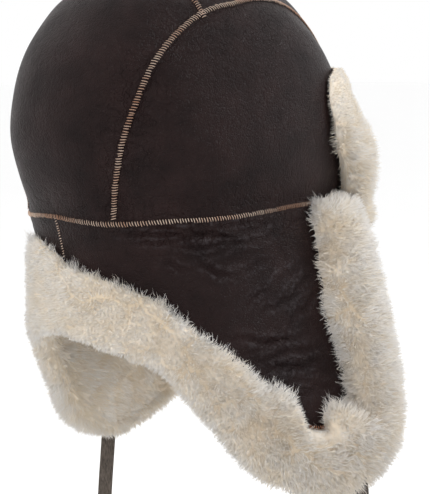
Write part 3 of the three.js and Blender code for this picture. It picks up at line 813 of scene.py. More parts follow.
@dataclass(frozen=True)
class WoolFinish:
    """Clipped wool: pale at the tips; darker and warmer towards the roots and between the locks, which
    is painted shade together with the wool's own warmer colour there.
    """

    name: str = "clipped_wool"
    # From root to tip: darker towards the root is painted shade deep in the pile, along with the
    # wool's warmer colour there.
    root: Colour = (0.54, 0.44, 0.33)
    middle: Colour = (0.79, 0.70, 0.59)
    tip: Colour = (0.86, 0.80, 0.73)
    warm: Colour = (0.85, 0.675, 0.47)
    sheen: float = 0.25
    gloss: float = 0.2
    glow: float = 0.45
    glow_reach: float = 0.0015
    glow_tint: Colour = (1.0, 0.85, 0.65)

    def material(self) -> bpy.types.Material:
        """The finish, which reads each strand's own depth and tone, where both hold painted shade
        besides the wool's own colour.
        """
        wiring = MaterialWiring(self.name)
        depth = wiring.attribute("depth")
        tone = wiring.attribute("tone")
        ramp = wiring.node("ShaderNodeValToRGB")
        stops = ramp.color_ramp.elements
        stops.new(0.5)
        for stop, place, colour in zip(stops, (0.0, 0.5, 0.9), (self.root, self.middle, self.tip)):
            stop.position = place
            stop.color = (*colour, 1.0)
        wiring.link(depth, ramp.inputs["Fac"])
        patch = wiring.span(wiring.noise(wiring.place, 34.0, 4.0), 0.46, 0.72, 0.0, 0.7)
        # Noise gives warm patches in the wool itself; strands of low tone, which carry the painted
        # shade, are warmed too: warm painted shade.
        warmth = wiring.math("MAXIMUM", patch, wiring.span(tone, 0.45, -0.15, 0.0, 0.95))
        shade = wiring.node("ShaderNodeHueSaturation")
        # Low tone darkens the colour: painted shade, besides the random tone of the locks.
        wiring.link(wiring.span(tone, 0.0, 1.0, 0.86, 1.0), shade.inputs["Value"])
        wiring.link(wiring.mix(warmth, ramp.outputs["Color"], self.warm), shade.inputs["Color"])
        wiring.feed(
            Base_Color=shade.outputs["Color"],
            Roughness=wiring.span(depth, 0.0, 1.0, 0.98, 0.8),
        )
        wiring.settle({
            "Specular IOR Level": self.gloss,
            "Sheen Weight": self.sheen,
            "Subsurface Weight": self.glow,
            "Subsurface Radius": self.glow_tint,
            "Subsurface Scale": self.glow_reach,
        })
        return wiring.made


@dataclass(frozen=True)
class ThreadFinish:
    """Sewing thread that runs from beige to rust along a seam."""

    name: str = "seam_thread"
    beige: Colour = (0.6, 0.48, 0.39)
    rust: Colour = (0.36, 0.16, 0.08)
    relief: float = 0.0001

    def material(self) -> bpy.types.Material:
        """The finish, with a thread's twist in its relief."""
        wiring = MaterialWiring(self.name)
        fuzz = wiring.noise(wiring.place, 4000.0, 2.0)
        wiring.feed(
            Base_Color=wiring.mix(wiring.attribute("tone"), self.beige, self.rust),
            Roughness=wiring.span(fuzz, 0.3, 0.7, 0.55, 0.8),
        )
        wiring.relief(fuzz, self.relief)
        return wiring.made


@dataclass(frozen=True)
class TieFinish:
    """Grey-brown suede of the ties, napped along their length."""

    name: str = "tie_suede"
    dark: Colour = (0.036, 0.029, 0.024)
    light: Colour = (0.125, 0.102, 0.085)
    pebbles: float = 1100.0
    sheen: float = 0.15
    gloss: float = 0.25
    relief: float = 0.00025

    def material(self, group: bpy.types.NodeTree) -> bpy.types.Material:
        """The finish, with the shared grain and a nap of fine streaks."""
        wiring = MaterialWiring(self.name)
        drawn = wiring.node("ShaderNodeMapping")
        drawn.inputs["Scale"].default_value = (1.0, 1.0, 0.25)
        wiring.link(wiring.place, drawn.inputs["Vector"])
        nap = wiring.noise(drawn.outputs["Vector"], 1300.0)
        wiring.feed(
            Base_Color=wiring.mix(wiring.span(nap, 0.3, 0.72), self.dark, self.light),
            Roughness=wiring.span(nap, 0.3, 0.7, 0.92, 0.75),
        )
        wiring.settle({"Sheen Weight": self.sheen, "Specular IOR Level": self.gloss})
        height = wiring.grain(group, self.pebbles).outputs["Height"]
        wiring.relief(wiring.math("MULTIPLY_ADD", nap, 0.8, height), self.relief)
        return wiring.made


@dataclass(frozen=True)
class Palette:
    """The helmet's four materials."""

    hide: bpy.types.Material
    wool: bpy.types.Material
    thread: bpy.types.Material
    tie: bpy.types.Material

    @classmethod
    def mixed(cls) -> "Palette":
        """Builds the shared grain once and each material with it."""
        grain = hide_grain_group()
        return cls(
            HideFinish().material(grain),
            WoolFinish().material(),
            ThreadFinish().material(),
            TieFinish().material(grain),
        )


# Wool


@dataclass
class Pile:
    """Clipped wool on a surface: a body in soft locks, close fine wool and some longer hairs."""

    points: Array
    away_from: Array
    close: Callable[[Array], bmesh.types.BMesh]
    length: float
    fine: int
    long: int
    wisps: int = 0
    fine_width: float = 0.72
    long_width: float = 0.5
    lock_spacing: float = 9.0
    lock_height: float = 1.0
    gather: float = 0.16
    droop: float = 0.12
    full: Numbers = 1.0
    # How much painted shade darkens and warms the strands, over the surface.
    dim: Numbers = 0.0
    seed: int = 0
    # Shares of the surface's own direction and of the lock's in the way a strand grows
    growth: tuple[float, float] = (0.62, 0.38)
    foot_sink: float = 0.7
    long_reach: float = 1.35
    tuft_hairs: int = 14
    tuft_spread: float = 1.5
    wisp_width: float = 0.26
    bow: float = 0.13

    def __post_init__(self) -> None:
        """Sets the locks on the surface and raises it into them."""
        self.chance = np.random.default_rng(SEED + self.seed)
        self.full = np.broadcast_to(self.full, self.points.shape[:2])
        self.dim = np.broadcast_to(self.dim, self.points.shape[:2])
        self.measure()
        count = max(4, int(self.area.sum() / self.lock_spacing**2))
        self.lock_root, way, full, _ = self.spots(count)
        lean = self.chance.normal(0.0, 0.25, (count, 3))
        self.lock_way = unit(way + lean - np.array([0.0, 0.0, self.droop]))
        self.lock_full = full * self.chance.uniform(0.85, 1.12, count)
        self.lock_tone = self.chance.random(count)
        self.tree = kdtree.KDTree(count)
        for index, root in enumerate(self.lock_root):
            self.tree.insert(Vector(root), index)
        self.tree.balance()
        rise = self.rise(self.points.reshape(-1, 3)).reshape(self.points.shape[:2])
        self.points = self.points + self.normal * (self.lock_height * (rise - 0.5))[..., None]
        self.measure()

    def measure(self) -> None:
        """Works out the surface's normals and the areas of its cells."""
        corner = self.points
        normal = unit(np.cross(np.gradient(corner, axis=0), np.gradient(corner, axis=1)))
        turned = np.sum(normal * (corner - self.away_from)) < 0
        self.normal = -normal if turned else normal
        first = corner[1:, 1:] - corner[:-1, :-1]
        second = corner[1:, :-1] - corner[:-1, 1:]
        self.area = np.linalg.norm(np.cross(first, second), axis=-1) / 2

    def nearest(self, places: Array) -> tuple[Array, Array]:
        """The lock that each place belongs to and how far off its middle it is."""
        found = [self.tree.find(Vector(place)) for place in places]
        return np.array([hit[1] for hit in found]), np.array([hit[2] for hit in found])

    def rise(self, places: Array) -> Array:
        """How high the locks stand at places, from 0 between them to 1 on their middles."""
        _, off = self.nearest(places)
        return np.clip(1.0 - (off / (0.8 * self.lock_spacing)) ** 2, 0.0, 1.0)

    def read(self, grid: Array, cell: tuple[Array, Array], share: tuple[Array, Array]) -> Array:
        """A grid's values inside its cells."""
        (row, column), (a, b) = cell, share
        weights = ((1 - a) * (1 - b), (1 - a) * b, a * (1 - b), a * b)
        corners = ((0, 0), (0, 1), (1, 0), (1, 1))
        shape = (-1,) + (1,) * (grid.ndim - 2)
        return sum(
            weight.reshape(shape) * grid[row + i, column + j]
            for weight, (i, j) in zip(weights, corners)
        )

    def spots(self, count: int) -> tuple[Array, Array, Array, Array]:
        """Even spots over the surface: their places, normals, fullness and painted shade."""
        reach = np.cumsum(self.area.ravel())
        wanted = (np.arange(count) + self.chance.random(count)) / count * reach[-1]
        index = np.minimum(np.searchsorted(reach, wanted), reach.size - 1)
        cell = np.unravel_index(index, self.area.shape)
        share = (self.chance.random(count), self.chance.random(count))
        return (
            self.read(self.points, cell, share),
            unit(self.read(self.normal, cell, share)),
            self.read(self.full, cell, share),
            self.read(self.dim, cell, share),
        )

    def coat(self, count: int, width: float, reach: float, bent: bool) -> tuple[Array, ...]:
        """Strands all over the surface, drawn towards the tips of their locks.

        Args:
            count: How many.
            width: Their width at the root.
            reach: Their length as a share of the pile's.
            bent: Whether each has a bend half way up.

        Returns:
            Corners, triangles, and each corner's depth, tone and facing.
        """
        root, normal, full, dim = self.spots(count)
        lock, off = self.nearest(root)
        scatter = self.chance.normal(0.0, 0.2, (count, 3))
        upright, drawn = self.growth
        way = unit(upright * normal + drawn * self.lock_way[lock] + scatter)
        uneven = self.chance.uniform(0.8, 1.15, count)
        long = self.length * reach * full * self.lock_full[lock] * uneven
        tip = root + way * long[:, None]
        lock_tip = self.lock_root[lock] + self.lock_way[lock] * self.length
        toward = lock_tip - tip
        sideways = toward - normal * np.sum(toward * normal, axis=1, keepdims=True)
        pull = self.gather * self.chance.uniform(0.4, 1.0, count)[:, None]
        tip = tip + pull * sideways
        # Painted shade: tone is lowered by the surface's painted shade, and the feet of strands away
        # from their lock's middle are darker.
        tone = 0.5 * self.lock_tone[lock] + 0.5 * self.chance.random(count) - dim
        low = 0.3 + 0.3 * np.clip(1.0 - off / self.lock_spacing, 0.0, 1.0)
        return self.spikes(root - normal * self.foot_sink, tip, normal, width, bent, tone, low)

    def hairs(self, count: int) -> tuple[Array, ...]:
        """Fine loose hairs that lie out from the first border of the surface, in tufts."""
        tufts = max(1, count // self.tuft_hairs)
        rows, columns = self.points.shape[:2]
        row = self.chance.integers(0, rows, tufts)
        column = self.chance.integers(0, max(2, columns // 9), tufts)
        normal = self.normal[row, column]
        outward = unit(self.points[row, 0] - self.points[row, columns // 4])
        aim = unit(0.42 * normal + 0.8 * outward + self.chance.normal(0.0, 0.3, (tufts, 3)))
        long = self.length * self.chance.uniform(0.8, 1.75, tufts) * self.full[row, column]
        tuft = self.chance.integers(0, tufts, count)
        strewn = self.chance.normal(0.0, self.tuft_spread, (count, 3))
        root = self.points[row, column][tuft] + strewn
        way = unit(aim[tuft] + self.chance.normal(0.0, 0.22, (count, 3)))
        tip = root + way * (long[tuft] * self.chance.uniform(0.6, 1.1, count))[:, None]
        tone = 0.6 + 0.4 * self.chance.random(count)
        low = np.full(count, 0.85)
        return self.spikes(root - way, tip, normal[tuft], self.wisp_width, True, tone, low)

    def spikes(self, root: Array, tip: Array, normal: Array, width: float, bent: bool,
               tone: Array, low: Array) -> tuple[Array, ...]:
        """Closed three-sided spikes between roots and tips.

        Args:
            root: Their feet.
            tip: Their points.
            normal: The surface's own facing at each.
            width: Their width at the foot.
            bent: Whether each has a bend half way up.
            tone: Their tones.
            low: Their depth at the foot, where the tip's is 1.

        Returns:
            Corners, triangles, and each corner's depth, tone and facing.
        """
        count = len(root)
        axis = unit(tip - root)
        first = unit(np.cross(axis, self.chance.normal(size=(count, 3))))
        second = np.cross(axis, first)
        half = (width / 2 * self.chance.uniform(0.75, 1.2, count))[:, None]
        turns = np.radians((0.0, 120.0, 240.0))
        sides = [first * math.cos(turn) + second * math.sin(turn) for turn in turns]
        rings = [root + side * half for side in sides]
        facing = [unit(normal + 0.8 * side) for side in sides]
        depth = [low, low, low]
        faces = [[0, 2, 1], [0, 1, 3], [1, 2, 3], [2, 0, 3]]
        if bent:
            long = np.linalg.norm(tip - root, axis=1)[:, None]
            bow = self.chance.normal(0.0, self.bow, (count, 3)) * long
            rings += [(root + tip) / 2 + bow + side * half * 0.85 for side in sides]
            facing += facing
            depth += [(low + 1) / 2] * 3
            faces = [[0, 2, 1], [0, 1, 4], [0, 4, 3], [1, 2, 5], [1, 5, 4],
                     [2, 0, 3], [2, 3, 5], [3, 4, 6], [4, 5, 6], [5, 3, 6]]
        rings.append(tip)
        facing.append(unit(normal + 0.4 * axis))
        depth.append(np.ones(count))
        each = len(rings)
        triangles = np.array(faces)[None] + each * np.arange(count)[:, None, None]
        return (
            np.stack(rings, axis=1).reshape(-1, 3),
            triangles.reshape(-1, 3),
            np.stack(depth, axis=1).ravel(),
            np.repeat(tone, each),
            np.stack(facing, axis=1).reshape(-1, 3),
        )

    def mesh(self, name: str) -> bpy.types.Mesh:
        """The body, the close wool and the longer hairs as one mesh."""
        corners, triangles = mesh_arrays(self.close(self.points))
        rise = self.rise(corners / MM)
        # Painted shade: the body is darker and warmer between the locks than on their middles.
        depth, tone = 0.2 + 0.35 * rise, 0.2 + 0.3 * rise
        parts = [
            (corners / MM, triangles, depth, tone, np.zeros_like(corners)),
            self.coat(self.fine, self.fine_width, 1.0, False),
            self.coat(self.long, self.long_width, self.long_reach, True),
        ]
        if self.wisps:
            parts.append(self.hairs(self.wisps))
        starts = np.cumsum([0] + [len(part[0]) for part in parts[:-1]])
        parts = [(part[0], part[1] + start, *part[2:]) for part, start in zip(parts, starts)]
        places, triangles, depth, tone, facing = (np.concatenate(kind) for kind in zip(*parts))
        return array_mesh(name, places * MM, triangles, facing=facing, depth=depth, tone=tone)


# Seams


@dataclass
class Seam:
    """A sewn seam: a low welt of hide with overlocked thread across it."""

    name: str
    line: Array
    normal: Array
    half_width: float = 1.5
    half_height: float = 1.0
    pitch: float = 1.6
    thread: float = 0.22
    rust: float = 0.35
    seed: int = 0
    steps: int = 5
    sides: int = 4

    def frames(self, pitch: float) -> tuple[Array, Array, Array, Array]:
        """Points along the seam with the directions along, across and out of it."""
        laid = resample(np.concatenate([self.line, self.normal], axis=1), pitch)
        points = laid[:, :3]
        along = unit(np.gradient(points, axis=0))
        out = upright_to(laid[:, 3:], along)
        return points, along, np.cross(along, out), out

    def welt(self, palette: Palette) -> None:
        """The welt of hide under the thread."""
        points, _, across, out = self.frames(2.4)
        shape = swept_bmesh(points, across, out, self.half_width, self.half_height)
        put_piece(f"welt_{self.name}", smooth_mesh(self.name, shape), palette.hide)

    def stitches(self, palette: Palette) -> None:
        """The loops of thread across the welt, one mesh of joined short bars."""
        rng = np.random.default_rng(SEED + self.seed)
        points, along, across, out = self.frames(self.pitch)
        count, steps, sides = len(points), self.steps, self.sides
        share = np.linspace(-1.0, 1.0, steps)
        reach = (self.half_width + 0.1) * share
        arch = (self.half_height + 0.12) * np.sqrt(np.maximum(0.0, 1 - (0.93 * share) ** 2))
        slant = (0.3 * self.pitch) * share
        jitter = rng.normal(0.0, 0.09, (count, 3))
        size = rng.uniform(0.85, 1.15, count)
        drift = 0.35 * np.sin(np.arange(count) / 11.0 + self.seed)[:, None]
        middle = points + along * jitter[:, :1] + across * (jitter[:, 1:2] + drift)
        line = (
            middle[:, None]
            + across[:, None] * reach[None, :, None] * size[:, None, None]
            + out[:, None] * arch[None, :, None]
            + along[:, None] * (slant[None] + jitter[:, 2:] * share[None])[..., None]
        )
        run = unit(np.gradient(line, axis=1))
        lift = upright_to(out[:, None], run)
        beside = np.cross(run, lift)
        turn = np.linspace(0.0, 2 * np.pi, sides, endpoint=False)
        ring = (
            line[:, :, None]
            + beside[:, :, None] * (self.thread * np.cos(turn))[None, None, :, None]
            + lift[:, :, None] * (self.thread * np.sin(turn))[None, None, :, None]
        )
        corners = ring.reshape(-1, 3) * MM
        faces = []
        for step in range(steps - 1):
            for corner in range(sides):
                a = step * sides + corner
                b = step * sides + (corner + 1) % sides
                faces += [[a, b, b + sides], [a, b + sides, a + sides]]
        last = (steps - 1) * sides
        faces += [[0, 2, 1], [0, 3, 2], [last, last + 1, last + 2], [last, last + 2, last + 3]]
        loop = np.array(faces)
        triangles = (loop[None] + steps * sides * np.arange(count)[:, None, None]).reshape(-1, 3)
        wave = np.sin(np.arange(count) / 17.0 + self.seed) + np.sin(np.arange(count) / 5.3)
        tone = np.clip(self.rust + 0.22 * wave + rng.normal(0.0, 0.12, count), 0, 1)
        name = f"stitches_{self.name}"
        mesh = array_mesh(name, corners, triangles, tone=np.repeat(tone, steps * sides))
        put_piece(name, mesh, palette.thread)

    def build(self, palette: Palette) -> None:
        """Makes the welt and its stitches."""
        self.welt(palette)
        self.stitches(palette)


# Sub-assemblies


@dataclass
class Crown:
    """The four leather panels of the crown, their seams and the wool inside."""

    palette: Palette
    columns: int = 240
    outer_rows: int = 84
    inner_rows: int = 12
    seam_gap: float = 0.0022
    wool_columns: int = 96
    wool_rows: int = 30
    wool_sink: float = 2.5
    # How far the middles of welts lie out from the hide, in millimetres
    crown_welt_out: float = -0.2
    band_welt_out: float = -0.4
    nape_welt_out: float = -0.6
    # A line this far out tells a welt on the wall which way is outwards
    inward: float = -10.0
    side_seam_arc: tuple[float, float] = (10.0, 170.0)
    cross_seam_turn: float = 75.0
    band_seam_turn: float = 143.0
    nape_seam_drop: tuple[float, float] = (1.0, 24.0)

    def shell(self) -> bmesh.types.BMesh:
        """The whole crown as a closed wall, before it is cut into panels."""
        angle = np.linspace(0.0, 360.0, self.columns, endpoint=False)
        outside = np.linspace(0.0, 1.0, self.outer_rows + 1)[:, None]
        inside = np.linspace(1.0, 0.0, self.inner_rows + 1)[:, None]
        outer = SHAPE.crown_points(angle, outside)
        inner = SHAPE.crown_points(angle, inside, -SHAPE.hide_thickness)
        return grid_bmesh(np.concatenate([outer, inner, outer[:1]]), closed=True)

    def straighten(self, shape: bmesh.types.BMesh, back: bool) -> None:
        """Draws the side seams out straight, at 1 and -1 metre, or bends them back."""
        half = SHAPE.strip_half_width(np.array([vert.co for vert in shape.verts]) / MM) * MM
        for vert, width in zip(shape.verts, half):
            vert.co.x = vert.co.x * width if back else vert.co.x / width

    def cut(self, shape: bmesh.types.BMesh, place: tuple, normal: tuple) -> None:
        """Cuts away what lies past a plane and closes the cut."""
        geometry = shape.verts[:] + shape.edges[:] + shape.faces[:]
        bmesh.ops.bisect_plane(
            shape, geom=geometry, dist=1e-6, plane_co=place, plane_no=normal, clear_outer=True
        )
        edges = [edge for edge in shape.edges if edge.is_boundary]
        filled = bmesh.ops.holes_fill(shape, edges=edges, sides=0)
        bmesh.ops.triangulate(shape, faces=filled["faces"])

    def panel(self, name: str, planes: Sequence[tuple], node: str) -> None:
        """One leather panel, cut from the shell by planes between straight seams."""
        shape = self.shell()
        self.straighten(shape, back=False)
        for place, normal in planes:
            self.cut(shape, place, normal)
        self.straighten(shape, back=True)
        bmesh.ops.recalc_face_normals(shape, faces=shape.faces)
        put_piece(name, hide_mesh(name, shape, 50.0), self.palette.hide, [node])

    def panels(self) -> None:
        """All four panels."""
        near = 1.0 - self.seam_gap
        far = 1.0 + self.seam_gap
        cross = SHAPE.cross_seam_back * MM
        gap = SHAPE.piece_gap * MM / 2
        strip = [((near, 0, 0), (1, 0, 0)), ((-near, 0, 0), (-1, 0, 0))]
        self.panel("panel_back", [*strip, ((0, cross + gap, 0), (0, -1, 0))], "crown_back")
        self.panel("panel_front", [*strip, ((0, cross - gap, 0), (0, 1, 0))], "crown_front")
        self.panel("panel_side_right", [((-far, 0, 0), (1, 0, 0))], "crown_side_right")
        self.panel("panel_side_left", [((far, 0, 0), (-1, 0, 0))], "crown_side_left")

    def crossing(self, angles: Array, test: Callable[[Array], Array]) -> tuple[Array, Array]:
        """Where a seam crosses each upright line of the crown.

        Args:
            angles: The angles of the lines.
            test: A value for points of the crown that falls through zero at the seam.

        Returns:
            The angles that meet the seam and the places along them.
        """
        places = np.linspace(0.0, 0.995, 900)
        found_angles, found_places = [], []
        for angle in angles:
            values = test(SHAPE.bare_crown(np.full(places.shape, angle), places))
            below = np.nonzero((values[:-1] >= 0) & (values[1:] < 0))[0]
            if below.size:
                first = below[0]
                share = values[first] / (values[first] - values[first + 1])
                found_angles.append(angle)
                found_places.append(blend(places[first], places[first + 1], share))
        return np.array(found_angles), np.array(found_places)

    def seam_on_crown(self, name: str, angles: Array, test: Callable[[Array], Array],
                      seed: int) -> Seam:
        """A seam of the crown along the line where a test turns."""
        angle, place = self.crossing(angles, test)
        line = SHAPE.crown_points(angle, place, self.crown_welt_out)
        return Seam(name, line, SHAPE.crown_normals(angle, place), seed=seed)

    def seams(self) -> list[Seam]:
        """The side seams, the cross seam, the seam round the band and the one at the nape."""

        def behind(points: Array) -> Array:
            """How far points lie behind the cross seam."""
            return points[..., 1] - SHAPE.cross_seam_back

        arc = np.linspace(*self.side_seam_arc, 700)
        made = [
            self.seam_on_crown(
                f"side_{side.label}", side.value * arc, SHAPE.past_strip, 11 + side.value
            )
            for side in Side
        ]
        arc = np.linspace(-self.cross_seam_turn, self.cross_seam_turn, 500)
        cross = self.seam_on_crown("cross", arc, behind, 21)
        within = SHAPE.past_strip(cross.line) < 0
        cross.line = cross.line[within]
        cross.normal = cross.normal[within]
        made.append(cross)
        angle = np.linspace(-self.band_seam_turn, self.band_seam_turn, 500)
        line = SHAPE.wall_points(angle, 0.0, self.band_welt_out)
        normal = line - SHAPE.wall_points(angle, 0.0, self.inward)
        made.append(Seam("band", line, unit(normal), half_width=1.35, rust=0.3, seed=31))
        line = SHAPE.wall_points(
            0.0, np.linspace(*self.nape_seam_drop, 20), self.nape_welt_out
        )
        made.append(
            Seam("nape", line, np.tile([0.0, 1.0, 0.0], (len(line), 1)), half_width=1.1,
                 half_height=0.7, rust=0.15, seed=41)
        )
        return made

    def wool(self) -> None:
        """The wool inside the crown, seen only from below."""
        angle = np.linspace(0.0, 360.0, self.wool_columns + 1)[None]
        place = np.linspace(0.0, 1.0, self.wool_rows + 1)[:, None]

        face = -SHAPE.wool_outside - SHAPE.crown_pile + self.wool_sink
        outer = SHAPE.crown_points(angle, place, -SHAPE.wool_outside)[::-1, :-1]

        def close(inner: Array) -> bmesh.types.BMesh:
            """The wool's wall between its face and the leather."""
            body = inner[:, :-1]
            return grid_bmesh(np.concatenate([body, outer, body[:1]]), closed=True)

        pile = Pile(
            SHAPE.crown_points(angle, place, face), SHAPE.crown_points(angle, place), close,
            length=5.0, fine=9000, long=700, fine_width=1.5, lock_spacing=11.0, seed=50,
        )
        put_piece("lining_crown", pile.mesh("lining_crown"), self.palette.wool,
                  ["crown_wool"])

    def build(self) -> None:
        """Makes the crown."""
        self.panels()
        for seam in self.seams():
            seam.build(self.palette)
        self.wool()


@dataclass
class EarPanel:
    """The leather of one ear panel, the wool inside it and the deep trim round it."""

    palette: Palette
    side: Side
    ribs: int = 150
    outer_rows: int = 84
    inner_rows: int = 12
    trim_inset: float = 1.2
    trim_stations: int = 230
    trim_columns: int = 44
    lining_reach: float = 1.08
    lining_end: float = -4.0
    lining_ribs: int = 110
    lining_rows: int = 40
    lining_sink: float = 2.2
    tip_span: tuple[float, float] = (0.45, 0.506)
    tip_across: float = 0.1
    tip_out: float = 2.6
    tip_inward: float = -8.0
    # Where the wool thins round the tip: two stretches of places, one of the trim's width
    notch_opens: tuple[float, float] = (0.425, 0.445)
    notch_closes: tuple[float, float] = (0.51, 0.53)
    notch_across: tuple[float, float] = (0.16, 0.32)
    notch_thinning: float = 0.65
    end_taper: float = 0.04
    seat_across: tuple[float, float] = (0.78, 0.1)
    seat_out: float = 0.15
    # Painted shade on the wool that turns in round the edge.
    wrap_dim: float = 0.55
    crease_strength: float = 2.3
    ridge_full: float = 0.55
    crease_start: float = 4.0
    # Creases pressed into the hide: angle and drop of both ends, width and depth in millimetres
    creases: tuple[tuple[float, ...], ...] = (
        (30, 7, 92, 5, 1.5, 0.55),
        (38, 11, 86, 9.5, 1.3, 0.6),
        (48, 15, 78, 15, 1.4, 0.45),
        (56, 6, 74, 11, 1.1, 0.4),
        (64, 19, 96, 13, 1.6, 0.4),
        (60, 26, 78, 37, 1.6, 0.55),
        (74, 33, 92, 28, 1.5, 0.45),
        (88, 48, 104, 33, 2.0, 0.6),
        (92, 56, 108, 40, 1.8, 0.5),
        (84, 58, 96, 50, 1.5, 0.4),
        (97, 64, 110, 50, 1.8, 0.45),
        (82, 84, 108, 78, 1.7, 0.55),
        (84, 90, 110, 87, 1.6, 0.6),
        (88, 97, 106, 98, 1.6, 0.4),
        (94, 108, 112, 100, 1.8, 0.35),
        (46, 24, 58, 30, 1.5, 0.35),
        (40, 4, 64, 3.6, 1.0, 0.5),
        (52, 9, 98, 7, 1.1, 0.5),
        (78, 52, 98, 35, 1.5, 0.6),
        (72, 70, 98, 74, 1.6, 0.5),
        (76, 79, 104, 70, 1.5, 0.45),
    )
    # Where the wool's inner border lies: place along the edge, share of the trim's width
    border_right: tuple[tuple[float, float], ...] = ((0.0, 0.02), (0.02, 0.09))
    border_left: tuple[tuple[float, float], ...] = (
        (0.0, 0.02), (0.03, -0.13), (0.062, -0.3), (0.107, -0.4), (0.2, -0.25), (0.28, -0.05),
    )
    border_beyond: tuple[tuple[float, float], ...] = (
        (0.33, 0.11), (0.36, 0.1), (0.376, 0.05), (0.4, -0.06), (0.425, -0.12), (0.436, -0.1),
        (0.444, 0.15), (0.508, 0.15), (0.518, -0.06), (0.545, -0.15), (0.565, -0.17), (0.59, -0.08),
        (0.607, 0.03), (0.64, 0.05), (0.69, -0.05), (0.744, -0.12), (0.777, -0.24),
        (0.84, -0.27), (0.874, -0.22), (1.0, -0.12),
    )
    # The trim's body: across, rise, wrap
    section: Array = field(default_factory=lambda: np.array([
        [0.08, 0.02, 0.0],
        [0.09, 0.4, 0.0],
        [0.17, 0.74, 0.0],
        [0.32, 0.95, 0.0],
        [0.5, 1.0, 0.0],
        [0.7, 0.9, 0.0],
        [0.86, 0.68, 0.0],
        [0.955, 0.36, 0.0],
        [0.985, 0.0, 0.1],
        [0.96, 0.0, 0.6],
        [0.9, 0.0, 1.0],
        [0.8, 0.0, 1.05],
    ]))

    def name(self, part: str) -> str:
        """A piece's name on this side."""
        return f"{part}_{self.side.label}"

    def border(self, place: Array) -> Array:
        """Where the wool starts, as a share of the trim's width, at places along the edge."""
        near = self.border_right if self.side is Side.RIGHT else self.border_left
        places, shares = np.array([*near, *self.border_beyond]).T
        return np.interp(place, places, shares)

    def ridge_lift(self, points: Array) -> Array:
        """How much the creases lift the hide at points of it, from 0 to 1."""
        angle, drop = SHAPE.wall_place(points)
        return np.clip(-self.crease_depth(angle, drop) / self.ridge_full, 0.0, 1.0)

    def crease_depth(self, points_angle: Array, points_drop: Array) -> Array:
        """How deep the creases press the hide in."""
        scale = math.radians(1.0) * SHAPE.crown_half_width
        depth = np.zeros(points_angle.shape)
        for a0, d0, a1, d1, width, deep in self.creases:
            start = np.array([a0 * scale, d0])
            run = np.array([a1 * scale, d1]) - start
            px = points_angle * scale - start[0]
            py = points_drop - start[1]
            share = np.clip((px * run[0] + py * run[1]) / (run @ run), 0.0, 1.0)
            wander = 1.1 * np.sin(share * 9.0 + a0)
            away = np.hypot(px - share * run[0], py - share * run[1] - wander)
            fade = np.sin(np.pi * np.clip(share, 0.02, 0.98)) ** 0.5
            rolled = np.exp(-(((away - 1.9 * width) / (0.8 * width)) ** 2))
            pressed = np.exp(-((away / width) ** 2)) - 0.5 * rolled
            depth = depth + deep * fade * pressed
        return self.crease_strength * depth

    def leather(self) -> None:
        """The leather wall with its folds and creases."""
        place = np.linspace(0.0, 1.0, self.ribs + 1)[:, None]
        outer = np.linspace(0.0, 1.0, self.outer_rows + 1)[None]
        inner = np.linspace(1.0, 0.0, self.inner_rows + 1)[None]
        angle, drop = SHAPE.panel_place(place, outer)
        pressed = self.crease_depth(angle, drop) * smoothstep(0.0, self.crease_start, drop)
        outside = SHAPE.panel_points(self.side, place, outer, -pressed)
        inside = SHAPE.panel_points(self.side, place, inner, -SHAPE.hide_thickness)
        shape = grid_bmesh(np.concatenate([outside, inside], axis=1), closed=True)
        name = self.name("panel_ear")
        put_piece(name, hide_mesh(name, shape, 55.0, self.ridge_lift), self.palette.hide,
                  [self.name("ear_panel")])

    def lining(self) -> None:
        """The wool on the inner side of the panel, with painted shade that is darkest near the band
        seam.
        """
        place = np.linspace(0.0, 1.0, self.lining_ribs + 1)[:, None]
        share = np.linspace(0.0, self.lining_reach, self.lining_rows + 1)[None]
        face = -SHAPE.wool_outside - SHAPE.flap_pile + self.lining_sink
        body = blend(face, self.lining_end, smoothstep(0.98, self.lining_reach, share))
        inner = SHAPE.panel_points(self.side, place, share, body)
        outer = SHAPE.panel_points(self.side, place, share, -SHAPE.wool_outside)
        name = self.name("lining_flap")
        pile = Pile(
            inner, outer,
            lambda face: grid_bmesh(np.concatenate([face, outer[:, ::-1]], axis=1), closed=True),
            length=5.0, fine=19500, long=2400, lock_spacing=11.0, lock_height=0.9,
            # Painted shade: darker near the band seam, lighter towards the edge.
            droop=0.3, dim=blend(0.65, 0.35, smoothstep(0.4, 1.0, share)),
            seed=60 + self.side.value,
        )
        put_piece(name, pile.mesh(name), self.palette.wool, [self.name("flap_wool")])

